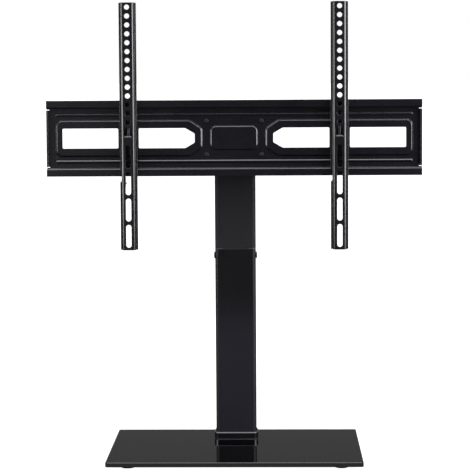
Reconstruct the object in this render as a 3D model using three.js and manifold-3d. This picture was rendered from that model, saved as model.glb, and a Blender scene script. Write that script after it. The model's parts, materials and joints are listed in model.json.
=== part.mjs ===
// A table-top television stand: a glass base, a telescoping steel column, a swivelling head with a
// pressed cross plate, and two slotted rails that hook over the plate and carry the television.
// Millimetres, +Z up. X runs along the cross plate, +Y points to the back of the stand, and the
// origin lies on the floor under the middle of the glass.

import * as THREE from "three";
import { mergeVertices } from "three/addons/utils/BufferGeometryUtils.js";
import Module from "manifold-3d";

const wasm = await Module();
wasm.setup();

// Clearances and shared working values
const fit = 0.3;
const slidingFit = 0.3;
const overrun = 5;
const mergeDistance = 0.0001;
const cornerSteps = 4;
const bendSteps = 3;
const smallRoundSteps = 12;
const largeRoundSteps = 24;

// Glass base and its feet
const glassWidth = 435;
const glassDepth = 280;
const glassThickness = 8;
const glassCornerRadius = 4;
const glassEdgeChamfer = 1;
const footHeight = 6;
const footRadius = 14;
const footTreadRadius = 11.5;
const footRimHeight = 1.5;
const footSideInset = 36.5;
const footEndInset = 30;

// Column tubes
const columnWidth = 72;
const columnDepth = 40;
const columnCornerRadius = 6;
const columnRearInset = 47.5;
const lowerPostHeight = 340;
const lowerPostWall = 2;
const upperPostHeight = 240;
const upperPostWall = 3.5;
const innerPostWall = 2.5;
const innerPostReach = 170;
const heightTravel = 80;
const jointGap = 0.5;
const linerWall = 1.2;
const linerFlange = 1.5;
const linerDepth = 60;
const capThickness = 2.5;
const capChamfer = 1;
const capPlugDepth = 12;
const capPlugWall = 2;

// Foot of the column, clamped through the glass
const gasketThickness = 1;
const collarHeight = 12;
const collarReach = 3;
const collarChamfer = 1.5;
const footPlateThickness = 6;
const baseBoltSpacingX = 44;
const baseBoltSpacingY = 18;
const baseBoltRadius = 4;
const baseBoltHeadRadius = 7;
const baseBoltHeadHeight = 1.8;
const baseBoltStickThrough = 1;
const glassHoleRadius = 6;
const clampPlateWidth = 96;
const clampPlateDepth = 64;
const clampPlateThickness = 2.5;
const clampCornerRadius = 8;
const clampGasketThickness = 0.8;

// Height bolts on the two sides of the lower post
const heightBoltDrop = 12;
const heightBoltRadius = 4;
const heightBoltHeadRadius = 6.1;
const heightBoltHeadHeight = 2.3;
const heightBoltHeadCrown = 1.2;
const heightBoltStickThrough = 1;
const heightNutRadius = 7.5;
const heightNutThickness = 6;
const heightSlotMargin = 6;

// Head: two nested steel brackets round one upright pivot bolt
const headDrop = 42.5;
const headSheet = 3;
const headBracketWidth = 60;
const headBracketHeight = 72;
const swivelBracketWidth = 116;
const pivotReach = 26.5;
const pivotSetback = 28;
const lugRadius = 17;
const bracketShoulder = 7;
const headBend = 3;
const pivotRadius = 5;
const pivotHeadRadius = 9.8;
const pivotHeadHeight = 6.4;
const pivotNutHeight = 8;
const pivotStickThrough = 2;
const pivotWasherRadius = 16;
const pivotWasherThickness = 1.4;
const pivotSleeveRadius = 9;
const headBoltSpacingX = 38;
const headBoltSpacingZ = 36;
const headBoltRadius = 3;
const headBoltHeadRadius = 5.8;
const headBoltHeadHeight = 4;
const headBoltStickThrough = 2;
const weldNutRadius = 7;
const weldNutThickness = 5;

// Pressed cross plate
const plateWidth = 650;
const plateHeight = 131.3;
const plateSheet = 2;
const plateBend = 2;
const bandHeight = 13.6;
const bandStep = 8;
const reliefDepth = 5;
const reliefHeight = 3;
const endFlangeBend = 2.5;
const windowHeight = 34.6;
const windowWidth = 97;
const windowRadius = 2;
const bridgeWidth = 35.5;
const innerTipOffset = 68.1;
const windowTipHeight = 15.6;
const windowTipLength = 16.4;
const embossHeight = 2.5;
const embossSlope = 3.2;
const embossMargin = 14.7;
const embossEndMargin = 12;
const embossTipMargin = 13.7;
const embossTipHeight = 34.4;
const embossTipLength = 22;
const embossRadius = 9;
const panelWidth = 82;
const panelHeight = 42.4;
const panelRadius = 10;
const panelRise = 2;
const panelSlope = 2.6;
const beadOffset = 40.5;
const beadEndInset = 16;
const beadWidth = 4.4;
const beadRise = 1.5;
const beadSlope = 1.5;
const bridgeBeadWidth = 3.2;
const bridgeBeadLength = 44;
const bridgeBeadRise = 1;
const rivetSpacingX = 95.4;
const rivetSpacingZ = 58.4;
const rivetShankRadius = 2.5;
const rivetHeadRadius = 4.2;
const rivetHeadHeight = 1.4;

// Rails that carry the television
const railOffset = 182.3;
const railLength = 426.6;
const railRise = 20.2;
const railWidth = 30;
const railFaceWidth = 23.6;
const railDepth = 15;
const railSheet = 2;
const railBend = 2.6;
const railShoulder = 4.4;
const railHoleRadius = 4.35;
const railHolePitch = 15.2;
const railHoleCount = 14;
const railFirstHole = 8;
const slotWidth = 9.2;
const slotLength = 39.6;
const slotPitch = 45.6;
const slotCount = 4;
const slotEndMargin = 4.7;
const archWidth = 14.4;
const archHeight = 14.5;
const archBelowTop = 213.8;
const tongueLength = 11;
const tongueSideGap = 0.9;
const hookClearance = 0.8;
const hookArmHeight = 9;
const hookDrop = 8;
const hookThickness = 4;
const hookRadius = 2;
const lowerEarHeight = 12;
const lowerEarReach = 6.5;
const lipNotchAbove = 9.6;
const lipNotchBelow = 7.9;
const lipNotchTaper = 2.4;
const lockLugWidth = 7;
const lockLugDrop = 10;
const lockScrewRadius = 2;
const lockScrewLength = 18;
const lockScrewInset = 3.4;
const lockSocketRadius = 1.15;
const lockSocketDepth = 3;
const lockThreadClearance = 0.15;

// Levels and places worked out from the sizes above
const glassUnderside = footHeight;
const glassTop = glassUnderside + glassThickness;
const postFoot = glassTop + gasketThickness;
const lowerPostTop = postFoot + lowerPostHeight;
const linerTop = lowerPostTop + linerFlange;
const mastFoot = linerTop + jointGap;
const mastTop = mastFoot + upperPostHeight;
const innerPostBottom = lowerPostTop - innerPostReach;
const innerPostWidth = columnWidth - 2 * (lowerPostWall + fit + linerWall + slidingFit);
const innerPostDepth = columnDepth - 2 * (lowerPostWall + fit + linerWall + slidingFit);
const heightBoltLevel = lowerPostTop - heightBoltDrop;
const postFace = glassDepth / 2 - columnRearInset - columnDepth;
const columnSetback = postFace + columnDepth / 2;
const plateCentreHeight = mastTop - headDrop;
const pivotPlace = postFace - pivotReach;
const webBack = pivotPlace - pivotSetback;
const webFront = webBack - plateSheet;
const bandFront = webFront - bandStep;
const headBracketBack = postFace - fit;
const foldLine = plateHeight / 2 - bandHeight;
const outerWindowStart = innerTipOffset + windowWidth + bridgeWidth;
const outerWindowEnd = outerWindowStart + windowWidth;
const railBack = bandFront - fit;

// Finishes
function finish(color, roughness, metalness) {
  return () => new THREE.MeshStandardMaterial({ color, roughness, metalness });
}
const powderCoat = finish(0x1c1c1e, 0.42, 0.3);
const satinCoat = finish(0x29292b, 0.38, 0.35);
const blackGlass = finish(0x070708, 0.06, 0);
const blackRubber = finish(0x141414, 0.85, 0);
const blackNylon = finish(0x191919, 0.6, 0);
const darkZinc = finish(0x2a2a2c, 0.35, 0.8);

// A closed geometry as a solid that can be joined and cut
function solidOf(geometry) {
  const bare = geometry.index ? geometry.toNonIndexed() : geometry.clone();
  bare.deleteAttribute("normal");
  bare.deleteAttribute("uv");
  const merged = mergeVertices(bare, mergeDistance);
  const vertProperties = new Float32Array(merged.getAttribute("position").array);
  const triVerts = new Uint32Array(merged.index.array);
  return new wasm.Manifold(new wasm.Mesh({ numProp: 3, vertProperties, triVerts }));
}

function geometryOf(solid) {
  const mesh = solid.getMesh();
  const geometry = new THREE.BufferGeometry();
  geometry.setAttribute("position", new THREE.BufferAttribute(mesh.vertProperties, mesh.numProp));
  geometry.setIndex(new THREE.BufferAttribute(mesh.triVerts, 1));
  const faceted = geometry.toNonIndexed();
  faceted.computeVertexNormals();
  return faceted;
}

function joined(solids) {
  return solids.reduce((whole, solid) => whole.add(solid));
}

function cut(body, tools) {
  return tools.reduce((left, tool) => left.subtract(tool), body);
}

// An outline through the given corners, each rounded by its own radius
function roundedOutline(corners, radii) {
  const points = [];
  corners.forEach((corner, i) => {
    const radius = Array.isArray(radii) ? radii[i] : radii;
    const before = corners[(i + corners.length - 1) % corners.length];
    const after = corners[(i + 1) % corners.length];
    if (radius === 0) {
      points.push(corner.clone());
      return;
    }
    const arriving = corner.clone().sub(before).normalize();
    const leaving = after.clone().sub(corner).normalize();
    const turn = Math.atan2(arriving.cross(leaving), arriving.dot(leaving));
    const setback = radius * Math.tan(Math.abs(turn) / 2);
    const start = corner.clone().addScaledVector(arriving, -setback);
    const inwards = new THREE.Vector2(-arriving.y, arriving.x).multiplyScalar(Math.sign(turn));
    const centre = start.clone().addScaledVector(inwards, radius);
    for (let k = 0; k <= cornerSteps; k++) {
      points.push(start.clone().rotateAround(centre, (turn * k) / cornerSteps));
    }
  });
  return points;
}

function rectangleCorners(left, right, low, high) {
  return [
    new THREE.Vector2(left, low),
    new THREE.Vector2(right, low),
    new THREE.Vector2(right, high),
    new THREE.Vector2(left, high),
  ];
}

function roundedRectangle(width, height, radius) {
  return roundedOutline(rectangleCorners(-width / 2, width / 2, -height / 2, height / 2), radius);
}

function circlePoints(radius, steps, x = 0, y = 0) {
  return Array.from({ length: steps }, (_, k) => {
    const angle = (2 * Math.PI * k) / steps;
    return new THREE.Vector2(x + radius * Math.cos(angle), y + radius * Math.sin(angle));
  });
}

// A strip of sheet that follows a centreline in the plane, its bends rounded by one radius
// or each by its own
function sheetStrip(centreline, thickness, bendRadius) {
  const left = [];
  const right = [];
  const lay = (point, normal) => {
    left.push(point.clone().addScaledVector(normal, thickness / 2));
    right.push(point.clone().addScaledVector(normal, -thickness / 2));
  };
  const runs = centreline.slice(1).map((point, i) => point.clone().sub(centreline[i]).normalize());
  const normals = runs.map((run) => new THREE.Vector2(-run.y, run.x));
  lay(centreline[0], normals[0]);
  for (let i = 1; i < runs.length; i++) {
    const turn = Math.atan2(runs[i - 1].cross(runs[i]), runs[i - 1].dot(runs[i]));
    const radius = Array.isArray(bendRadius) ? bendRadius[i - 1] : bendRadius;
    const setback = radius * Math.tan(Math.abs(turn) / 2);
    const start = centreline[i].clone().addScaledVector(runs[i - 1], -setback);
    const inwards = normals[i - 1].clone().multiplyScalar(Math.sign(turn));
    const centre = start.clone().addScaledVector(inwards, radius);
    for (let k = 0; k <= bendSteps; k++) {
      const swung = (turn * k) / bendSteps;
      const normal = normals[i - 1].clone().rotateAround(new THREE.Vector2(), swung);
      lay(start.clone().rotateAround(centre, swung), normal);
    }
  }
  lay(centreline[centreline.length - 1], normals[normals.length - 1]);
  return left.concat(right.reverse());
}

const uprightFrame = new THREE.Matrix4();
const facingFrame = new THREE.Matrix4().makeBasis(
  new THREE.Vector3(1, 0, 0),
  new THREE.Vector3(0, 0, 1),
  new THREE.Vector3(0, -1, 0),
);
const sidewaysFrame = new THREE.Matrix4().makeBasis(
  new THREE.Vector3(0, 1, 0),
  new THREE.Vector3(0, 0, 1),
  new THREE.Vector3(1, 0, 0),
);

// An outline extruded between two levels, with a sloped edge of the given width at its far end
function extruded(points, depth, frame, place, slopeWidth = 0, slopeDepth = 0) {
  const shape = new THREE.Shape(points);
  const settings = { depth, bevelEnabled: slopeWidth > 0, bevelSegments: 1 };
  settings.bevelSize = slopeWidth;
  settings.bevelOffset = -slopeWidth;
  settings.bevelThickness = slopeDepth;
  const geometry = new THREE.ExtrudeGeometry(shape, settings);
  geometry.applyMatrix4(frame);
  geometry.translate(place.x, place.y, place.z);
  return solidOf(geometry);
}

// Outline in X and Y, between two heights
function upright(points, low, high) {
  return extruded(points, high - low, uprightFrame, new THREE.Vector3(0, 0, low));
}

// Outline in X and Z, between a front and a back
function facing(points, front, back) {
  return extruded(points, back - front, facingFrame, new THREE.Vector3(0, back, 0));
}

// Outline in Y and Z, between two sides
function sideways(points, from, to) {
  return extruded(points, to - from, sidewaysFrame, new THREE.Vector3(from, 0, 0));
}

// A raised form in X and Z whose edge slopes from its foot to its face
function pressedForm(points, foot, rise, slope, depth) {
  const body = depth - rise;
  const place = new THREE.Vector3(0, foot + body, 0);
  return extruded(points, body, facingFrame, place, slope, rise);
}

// A turned form: radius and height pairs that start and end on the axis, or close on themselves
function turned(profile, steps) {
  const points = profile.map(([radius, height]) => new THREE.Vector2(radius, height));
  const geometry = new THREE.LatheGeometry(points, steps);
  geometry.rotateX(Math.PI / 2);
  return solidOf(geometry);
}

function ring(outer, inner, low, high, steps) {
  const profile = [[inner, low], [outer, low], [outer, high], [inner, high], [inner, low]];
  return turned(profile, steps);
}

function rod(radius, low, high, steps) {
  return turned([[0, low], [radius, low], [radius, high], [0, high]], steps);
}

// A solid turned on the Z axis, laid along another axis and moved to its place
function laid(solid, direction, place) {
  const turnTo = new THREE.Quaternion().setFromUnitVectors(new THREE.Vector3(0, 0, 1), direction);
  const matrix = new THREE.Matrix4().compose(place, turnTo, new THREE.Vector3(1, 1, 1));
  return solid.transform(matrix.elements);
}

function moved(solid, x, y, z) {
  return solid.translate([x, y, z]);
}

function tube(width, depth, radius, wall, low, high) {
  const outside = upright(roundedRectangle(width, depth, radius), low, high);
  const insideOutline = roundedRectangle(width - 2 * wall, depth - 2 * wall, radius - wall);
  return outside.subtract(upright(insideOutline, low - overrun, high + overrun));
}

function fourPlaces(spacingX, spacingY) {
  return [
    { side: "front_left", x: -spacingX / 2, y: -spacingY / 2 },
    { side: "front_right", x: spacingX / 2, y: -spacingY / 2 },
    { side: "rear_left", x: -spacingX / 2, y: spacingY / 2 },
    { side: "rear_right", x: spacingX / 2, y: spacingY / 2 },
  ];
}

function fourUprightPlaces(spacingX, spacingZ) {
  return [
    { side: "upper_left", x: -spacingX / 2, z: spacingZ / 2 },
    { side: "upper_right", x: spacingX / 2, z: spacingZ / 2 },
    { side: "lower_left", x: -spacingX / 2, z: -spacingZ / 2 },
    { side: "lower_right", x: spacingX / 2, z: -spacingZ / 2 },
  ];
}

function addPiece(group, name, solid, material, x = 0, y = 0, z = 0) {
  const mesh = new THREE.Mesh(geometryOf(solid), material());
  mesh.name = name;
  mesh.position.set(x, y, z);
  group.add(mesh);
}

// Glass base: a plate with chamfered edges and four bolt holes behind its middle
const baseBoltPlaces = fourPlaces(baseBoltSpacingX, baseBoltSpacingY);

function glassBase() {
  const outline = roundedRectangle(glassWidth, glassDepth, glassCornerRadius);
  const depth = glassThickness - 2 * glassEdgeChamfer;
  const place = new THREE.Vector3(0, 0, glassEdgeChamfer);
  const slab = extruded(outline, depth, uprightFrame, place, glassEdgeChamfer, glassEdgeChamfer);
  const hole = rod(glassHoleRadius, -overrun, glassThickness + overrun, smallRoundSteps);
  return cut(slab, baseBoltPlaces.map(({ x, y }) => moved(hole, x, columnSetback + y, 0)));
}

function rubberFoot() {
  return turned(
    [
      [0, 0],
      [footTreadRadius, 0],
      [footRadius, footHeight - footRimHeight],
      [footRadius, footHeight],
      [0, footHeight],
    ],
    largeRoundSteps,
  );
}

function drilledSheet(width, depth, radius, thickness, holeRadius) {
  const sheet = upright(roundedRectangle(width, depth, radius), 0, thickness);
  const hole = rod(holeRadius, -overrun, thickness + overrun, smallRoundSteps);
  return cut(sheet, baseBoltPlaces.map(({ x, y }) => moved(hole, x, y, 0)));
}

// Base bolt: a low round head under the clamp plate and a shank up into the post's foot plate
const baseBoltLength =
  clampPlateThickness +
  clampGasketThickness +
  glassThickness +
  gasketThickness +
  footPlateThickness +
  baseBoltStickThrough;

function baseBolt() {
  return turned(
    [
      [0, -baseBoltHeadHeight],
      [baseBoltHeadRadius, -baseBoltHeadHeight],
      [baseBoltHeadRadius, 0],
      [baseBoltRadius, 0],
      [baseBoltRadius, baseBoltLength],
      [0, baseBoltLength],
    ],
    smallRoundSteps,
  );
}

function glassBush() {
  return ring(glassHoleRadius - fit, baseBoltRadius + fit, 0, glassThickness, smallRoundSteps);
}

// Lower post: a tube with a drilled foot plate welded in its lower end
function lowerPost() {
  const shell = tube(columnWidth, columnDepth, columnCornerRadius, lowerPostWall, 0, lowerPostHeight);
  const footOutline = roundedRectangle(
    columnWidth - lowerPostWall,
    columnDepth - lowerPostWall,
    columnCornerRadius - lowerPostWall / 2,
  );
  const post = shell.add(upright(footOutline, 0, footPlateThickness));
  const thread = rod(baseBoltRadius + fit, -overrun, footPlateThickness + overrun, smallRoundSteps);
  const threads = baseBoltPlaces.map(({ x, y }) => moved(thread, x, y, 0));
  const boltLevel = lowerPostHeight - heightBoltDrop;
  const across = new THREE.Vector3(1, 0, 0);
  const bore = rod(heightBoltRadius + fit, -columnWidth, columnWidth, smallRoundSteps);
  return cut(post, [...threads, laid(bore, across, new THREE.Vector3(0, 0, boltLevel))]);
}

// Collar round the foot of the column, with a sloped top edge
function footCollar() {
  const outline = roundedRectangle(
    columnWidth + 2 * collarReach,
    columnDepth + 2 * collarReach,
    columnCornerRadius + collarReach,
  );
  const straight = collarHeight - collarChamfer;
  const block = extruded(outline, straight, uprightFrame, new THREE.Vector3(), collarChamfer, collarChamfer);
  const opening = roundedRectangle(columnWidth + 2 * fit, columnDepth + 2 * fit, columnCornerRadius + fit);
  const bed = rectangleCorners(-columnWidth, columnWidth, -columnDepth, columnDepth);
  return cut(block, [
    upright(opening, -collarHeight, collarHeight + overrun),
    upright(bed, -collarChamfer - overrun, 0),
  ]);
}

// Liner in the mouth of the lower post: a thin sleeve under a flange that the upper post meets
function postLiner() {
  const sleeveInset = lowerPostWall + fit;
  const sleeve = tube(
    columnWidth - 2 * sleeveInset,
    columnDepth - 2 * sleeveInset,
    columnCornerRadius - lowerPostWall,
    linerWall,
    -linerDepth,
    linerFlange,
  );
  const flangeWall = sleeveInset + linerWall;
  const flange = tube(columnWidth, columnDepth, columnCornerRadius, flangeWall, 0, linerFlange);
  const across = new THREE.Vector3(1, 0, 0);
  const bore = rod(heightBoltRadius + 2 * fit, -columnWidth, columnWidth, smallRoundSteps);
  return sleeve.add(flange).subtract(laid(bore, across, new THREE.Vector3(0, 0, -heightBoltDrop)));
}

// Height bolt: a crowned head outside the post and a shank that ends in a nut inside the column
const heightNutOutside = innerPostWidth / 2 - innerPostWall - slidingFit;
const heightBoltSeat = columnWidth / 2 + fit;
const heightNutInside = heightNutOutside - heightNutThickness;
const heightBoltShank = heightBoltSeat - heightNutInside + heightBoltStickThrough;

function heightBolt() {
  return turned(
    [
      [0, -heightBoltShank],
      [heightBoltRadius, -heightBoltShank],
      [heightBoltRadius, 0],
      [heightBoltHeadRadius, 0],
      [heightBoltHeadRadius, heightBoltHeadHeight - heightBoltHeadCrown],
      [heightBoltHeadRadius - heightBoltHeadCrown, heightBoltHeadHeight],
      [0, heightBoltHeadHeight],
    ],
    largeRoundSteps,
  );
}

function hexRing(outerRadius, innerRadius, thickness) {
  const block = upright(circlePoints(outerRadius, 6), 0, thickness);
  return block.subtract(rod(innerRadius, -overrun, thickness + overrun, smallRoundSteps));
}

// Inner post: the narrower tube that slides in the lower post, slotted for the height bolts
const innerPostLength = mastTop - innerPostBottom;
const headBoltPlaces = fourUprightPlaces(headBoltSpacingX, headBoltSpacingZ);
const innerPostRadius = columnCornerRadius - lowerPostWall - linerWall;

function innerPost() {
  const shell = tube(innerPostWidth, innerPostDepth, innerPostRadius, innerPostWall, 0, innerPostLength);
  const wallFace = -innerPostDepth / 2;
  const headLevel = plateCentreHeight - innerPostBottom;
  const nut = laid(
    rod(weldNutRadius, 0, weldNutThickness, smallRoundSteps),
    new THREE.Vector3(0, 1, 0),
    new THREE.Vector3(0, wallFace + innerPostWall / 2, headLevel),
  );
  const thread = laid(
    rod(headBoltRadius + fit, -overrun, weldNutThickness + 2 * overrun, smallRoundSteps),
    new THREE.Vector3(0, 1, 0),
    new THREE.Vector3(0, wallFace, headLevel),
  );
  const post = joined([shell, ...headBoltPlaces.map(({ x, z }) => moved(nut, x, 0, z))]);
  const slotHalfWidth = heightBoltRadius + 2 * fit;
  const slotTop = heightBoltLevel + heightSlotMargin - innerPostBottom;
  const slotBottom = heightBoltLevel - heightTravel - heightSlotMargin - innerPostBottom;
  const slot = sideways(
    roundedOutline(
      rectangleCorners(-slotHalfWidth, slotHalfWidth, slotBottom, slotTop),
      slotHalfWidth - fit,
    ),
    -innerPostWidth,
    innerPostWidth,
  );
  return cut(post, [slot, ...headBoltPlaces.map(({ x, z }) => moved(thread, x, 0, z))]);
}

// Upper post: the outer sleeve above the joint, bolted to the inner post with the head
function upperPost() {
  const shell = tube(columnWidth, columnDepth, columnCornerRadius, upperPostWall, 0, upperPostHeight);
  const headLevel = plateCentreHeight - mastFoot;
  const hole = laid(
    rod(headBoltRadius + fit, -overrun, upperPostWall + overrun, smallRoundSteps),
    new THREE.Vector3(0, 1, 0),
    new THREE.Vector3(0, -columnDepth / 2, headLevel),
  );
  return cut(shell, headBoltPlaces.map(({ x, z }) => moved(hole, x, 0, z)));
}

// Cap on the column's top, with a hollow plug that grips the inner post
function postCap() {
  const outline = roundedRectangle(columnWidth, columnDepth, columnCornerRadius);
  const straight = capThickness - capChamfer;
  const lid = extruded(outline, straight, uprightFrame, new THREE.Vector3(), capChamfer, capChamfer);
  const lower = rectangleCorners(-columnWidth, columnWidth, -columnDepth, columnDepth);
  const flatLid = lid.subtract(upright(lower, -capChamfer - overrun, 0));
  const plugInset = innerPostWall + fit;
  const plug = tube(
    innerPostWidth - 2 * plugInset,
    innerPostDepth - 2 * plugInset,
    innerPostRadius,
    capPlugWall,
    -capPlugDepth,
    straight,
  );
  return flatLid.add(plug);
}

// Plan of a bracket: as wide as its back plate there, and tapered to a round end about the pivot
function bracketPlan(width, root, height) {
  const inwards = -Math.sign(root);
  const half = width / 2;
  const outline = [
    new THREE.Vector2(-half, root - inwards * fit),
    new THREE.Vector2(half, root - inwards * fit),
    new THREE.Vector2(half, root + inwards * bracketShoulder),
    new THREE.Vector2(lugRadius, 0),
    new THREE.Vector2(-lugRadius, 0),
    new THREE.Vector2(-half, root + inwards * bracketShoulder),
  ];
  return upright(outline, -height, height).add(rod(lugRadius, -height, height, largeRoundSteps));
}

// Channel bracket: a back plate at the given place with a lug above and below, cut to the plan
function channelBracket(width, height, backPlate, lugReach) {
  const away = -Math.sign(backPlate);
  const plateLine = backPlate + (away * headSheet) / 2;
  const lugLine = height / 2 - headSheet / 2;
  const strip = sheetStrip(
    [
      new THREE.Vector2(lugReach, lugLine),
      new THREE.Vector2(plateLine, lugLine),
      new THREE.Vector2(plateLine, -lugLine),
      new THREE.Vector2(lugReach, -lugLine),
    ],
    headSheet,
    headBend,
  );
  const channel = sideways(strip, -width / 2, width / 2);
  const shaped = channel.intersect(bracketPlan(width, backPlate, height));
  return shaped.subtract(rod(pivotRadius + fit, -height, height, smallRoundSteps));
}

const headBack = headBracketBack - pivotPlace;
const swivelBack = webBack + fit - pivotPlace;
const swivelBracketHeight = headBracketHeight + 2 * (headSheet + pivotWasherThickness + 2 * slidingFit);

function headBracket() {
  const bracket = channelBracket(headBracketWidth, headBracketHeight, headBack, -lugRadius);
  const hole = laid(
    rod(headBoltRadius + fit, -headSheet - overrun, overrun, smallRoundSteps),
    new THREE.Vector3(0, 1, 0),
    new THREE.Vector3(0, headBack, 0),
  );
  return cut(bracket, headBoltPlaces.map(({ x, z }) => moved(hole, x, 0, z)));
}

function swivelBracket() {
  const bracket = channelBracket(swivelBracketWidth, swivelBracketHeight, swivelBack, lugRadius);
  const hole = laid(
    rod(rivetShankRadius + fit, -overrun, headSheet + overrun, smallRoundSteps),
    new THREE.Vector3(0, 1, 0),
    new THREE.Vector3(0, swivelBack, 0),
  );
  return cut(bracket, rivetPlaces.map(({ x, z }) => moved(hole, x, 0, z)));
}

// Head bolt: a hexagon head in front of the bracket and a shank into the inner post
const headBoltLength =
  headSheet + fit + upperPostWall + slidingFit + innerPostWall + weldNutThickness + headBoltStickThrough;

function headBolt() {
  const head = upright(circlePoints(headBoltHeadRadius, 6), -headBoltHeadHeight, 0);
  return head.add(rod(headBoltRadius, -headBoltHeadHeight / 2, headBoltLength, smallRoundSteps));
}

// Pivot bolt, its nut, the washers between the lugs and the sleeve that keeps them apart
const pivotHeadSeat = swivelBracketHeight / 2 + fit;

function pivotBolt() {
  const head = upright(circlePoints(pivotHeadRadius, 6), pivotHeadSeat, pivotHeadSeat + pivotHeadHeight);
  const end = -pivotHeadSeat - pivotNutHeight - pivotStickThrough;
  return head.add(rod(pivotRadius, end, pivotHeadSeat + pivotHeadHeight / 2, smallRoundSteps));
}

function pivotWasher() {
  return ring(pivotWasherRadius, pivotRadius + fit, 0, pivotWasherThickness, largeRoundSteps);
}

function pivotSleeve() {
  const half = headBracketHeight / 2 - headSheet - fit;
  return ring(pivotSleeveRadius, pivotRadius + fit, -half, half, smallRoundSteps);
}

// Cross plate: one folded sheet with stepped bands, forward end flanges, beads, raised window
// surrounds and a raised middle panel
const rivetPlaces = fourUprightPlaces(rivetSpacingX, rivetSpacingZ);
const sideSigns = [-1, 1];

function mirroredAcross(points, sign) {
  const flipped = points.map((point) => new THREE.Vector2(sign * point.x, point.y));
  return sign < 0 ? flipped.reverse() : flipped;
}

function tippedCorners(tip, end, tipHalf, tipLength, half) {
  return [
    new THREE.Vector2(tip, -tipHalf),
    new THREE.Vector2(tip + tipLength, -half),
    new THREE.Vector2(end, -half),
    new THREE.Vector2(end, half),
    new THREE.Vector2(tip + tipLength, half),
    new THREE.Vector2(tip, tipHalf),
  ];
}

function foldedSheet() {
  const bandLine = bandFront + plateSheet / 2;
  const webLine = webFront + plateSheet / 2;
  const stepLine = foldLine + plateSheet / 2;
  const edge = plateHeight / 2;
  const section = sheetStrip(
    [
      new THREE.Vector2(bandLine, edge),
      new THREE.Vector2(bandLine, stepLine),
      new THREE.Vector2(webLine, stepLine),
      new THREE.Vector2(webLine, -stepLine),
      new THREE.Vector2(bandLine, -stepLine),
      new THREE.Vector2(bandLine, -edge),
    ],
    plateSheet,
    plateBend,
  );
  return sideways(section, -plateWidth / 2, plateWidth / 2);
}

function endFlange(sign) {
  const flangeLine = plateWidth / 2 - plateSheet / 2;
  const webLine = webFront + plateSheet / 2;
  const strip = sheetStrip(
    [
      new THREE.Vector2(flangeLine, bandFront),
      new THREE.Vector2(flangeLine, webLine),
      new THREE.Vector2(flangeLine - reliefDepth - overrun, webLine),
    ],
    plateSheet,
    endFlangeBend,
  );
  const half = foldLine - reliefHeight;
  return upright(mirroredAcross(strip, sign), -half, half);
}

function raisedForms(shift, depth) {
  const foot = webFront + shift;
  const embossStart = innerTipOffset - embossTipMargin;
  const surround = roundedOutline(
    tippedCorners(
      embossStart,
      outerWindowEnd + embossEndMargin,
      embossTipHeight / 2,
      embossTipLength,
      windowHeight / 2 + embossMargin,
    ),
    embossRadius,
  );
  const panel = roundedRectangle(panelWidth, panelHeight, panelRadius);
  const beadEnd = plateWidth / 2 - beadEndInset;
  const bead = (centre) =>
    roundedOutline(
      rectangleCorners(-beadEnd, beadEnd, centre - beadWidth / 2, centre + beadWidth / 2),
      beadWidth / 2 - fit / 2,
    );
  const bridgeMiddle = innerTipOffset + windowWidth + bridgeWidth / 2;
  const bridgeBead = roundedOutline(
    rectangleCorners(
      bridgeMiddle - bridgeBeadWidth / 2,
      bridgeMiddle + bridgeBeadWidth / 2,
      -bridgeBeadLength / 2,
      bridgeBeadLength / 2,
    ),
    bridgeBeadWidth / 2 - fit / 2,
  );
  const top = foot - embossHeight;
  return [
    pressedForm(panel, foot, panelRise, panelSlope, depth + panelRise),
    ...sideSigns.map((sign) =>
      pressedForm(bead(sign * beadOffset), foot, beadRise, beadSlope, depth + beadRise),
    ),
    ...sideSigns.map((sign) =>
      pressedForm(mirroredAcross(surround, sign), foot, embossHeight, embossSlope, depth + embossHeight),
    ),
    ...sideSigns.map((sign) => {
      const outline = mirroredAcross(bridgeBead, sign);
      return pressedForm(outline, top, bridgeBeadRise, bridgeBeadRise, depth + bridgeBeadRise);
    }),
  ];
}

function crossPlate() {
  const half = plateWidth / 2;
  const endCut = sideSigns.map((sign) =>
    facing(
      mirroredAcross(rectangleCorners(half - reliefDepth, half + overrun, -foldLine, foldLine), sign),
      bandFront - overrun,
      webBack + overrun,
    ),
  );
  const sheet = joined([
    cut(foldedSheet(), endCut),
    ...sideSigns.map(endFlange),
    ...raisedForms(0, plateSheet / 2),
  ]);
  const outerWindow = roundedOutline(
    rectangleCorners(outerWindowStart, outerWindowEnd, -windowHeight / 2, windowHeight / 2),
    windowRadius,
  );
  const innerWindow = roundedOutline(
    tippedCorners(
      innerTipOffset,
      innerTipOffset + windowWidth,
      windowTipHeight / 2,
      windowTipLength,
      windowHeight / 2,
    ),
    windowRadius,
  );
  const windows = sideSigns.flatMap((sign) =>
    [outerWindow, innerWindow].map((outline) =>
      facing(mirroredAcross(outline, sign), bandFront - overrun, webBack + overrun),
    ),
  );
  const rivetHole = laid(
    rod(rivetShankRadius + fit, -overrun, plateSheet + overrun, smallRoundSteps),
    new THREE.Vector3(0, 1, 0),
    new THREE.Vector3(0, webFront, 0),
  );
  const rivetHoles = rivetPlaces.map(({ x, z }) => moved(rivetHole, x, 0, z));
  return cut(sheet, [...raisedForms(plateSheet, overrun), ...windows, ...rivetHoles]);
}

// Rivet: a domed head on the plate, a shank through plate and bracket, and a flat head behind
const rivetGrip = plateSheet + headSheet + 3 * fit;

function plateRivet() {
  return turned(
    [
      [0, -rivetHeadHeight],
      [rivetHeadRadius / 2, -rivetHeadHeight],
      [rivetHeadRadius, 0],
      [rivetShankRadius, 0],
      [rivetShankRadius, rivetGrip],
      [rivetHeadRadius, rivetGrip],
      [rivetHeadRadius, rivetGrip + rivetHeadHeight],
      [0, rivetGrip + rivetHeadHeight],
    ],
    smallRoundSteps,
  );
}

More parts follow.
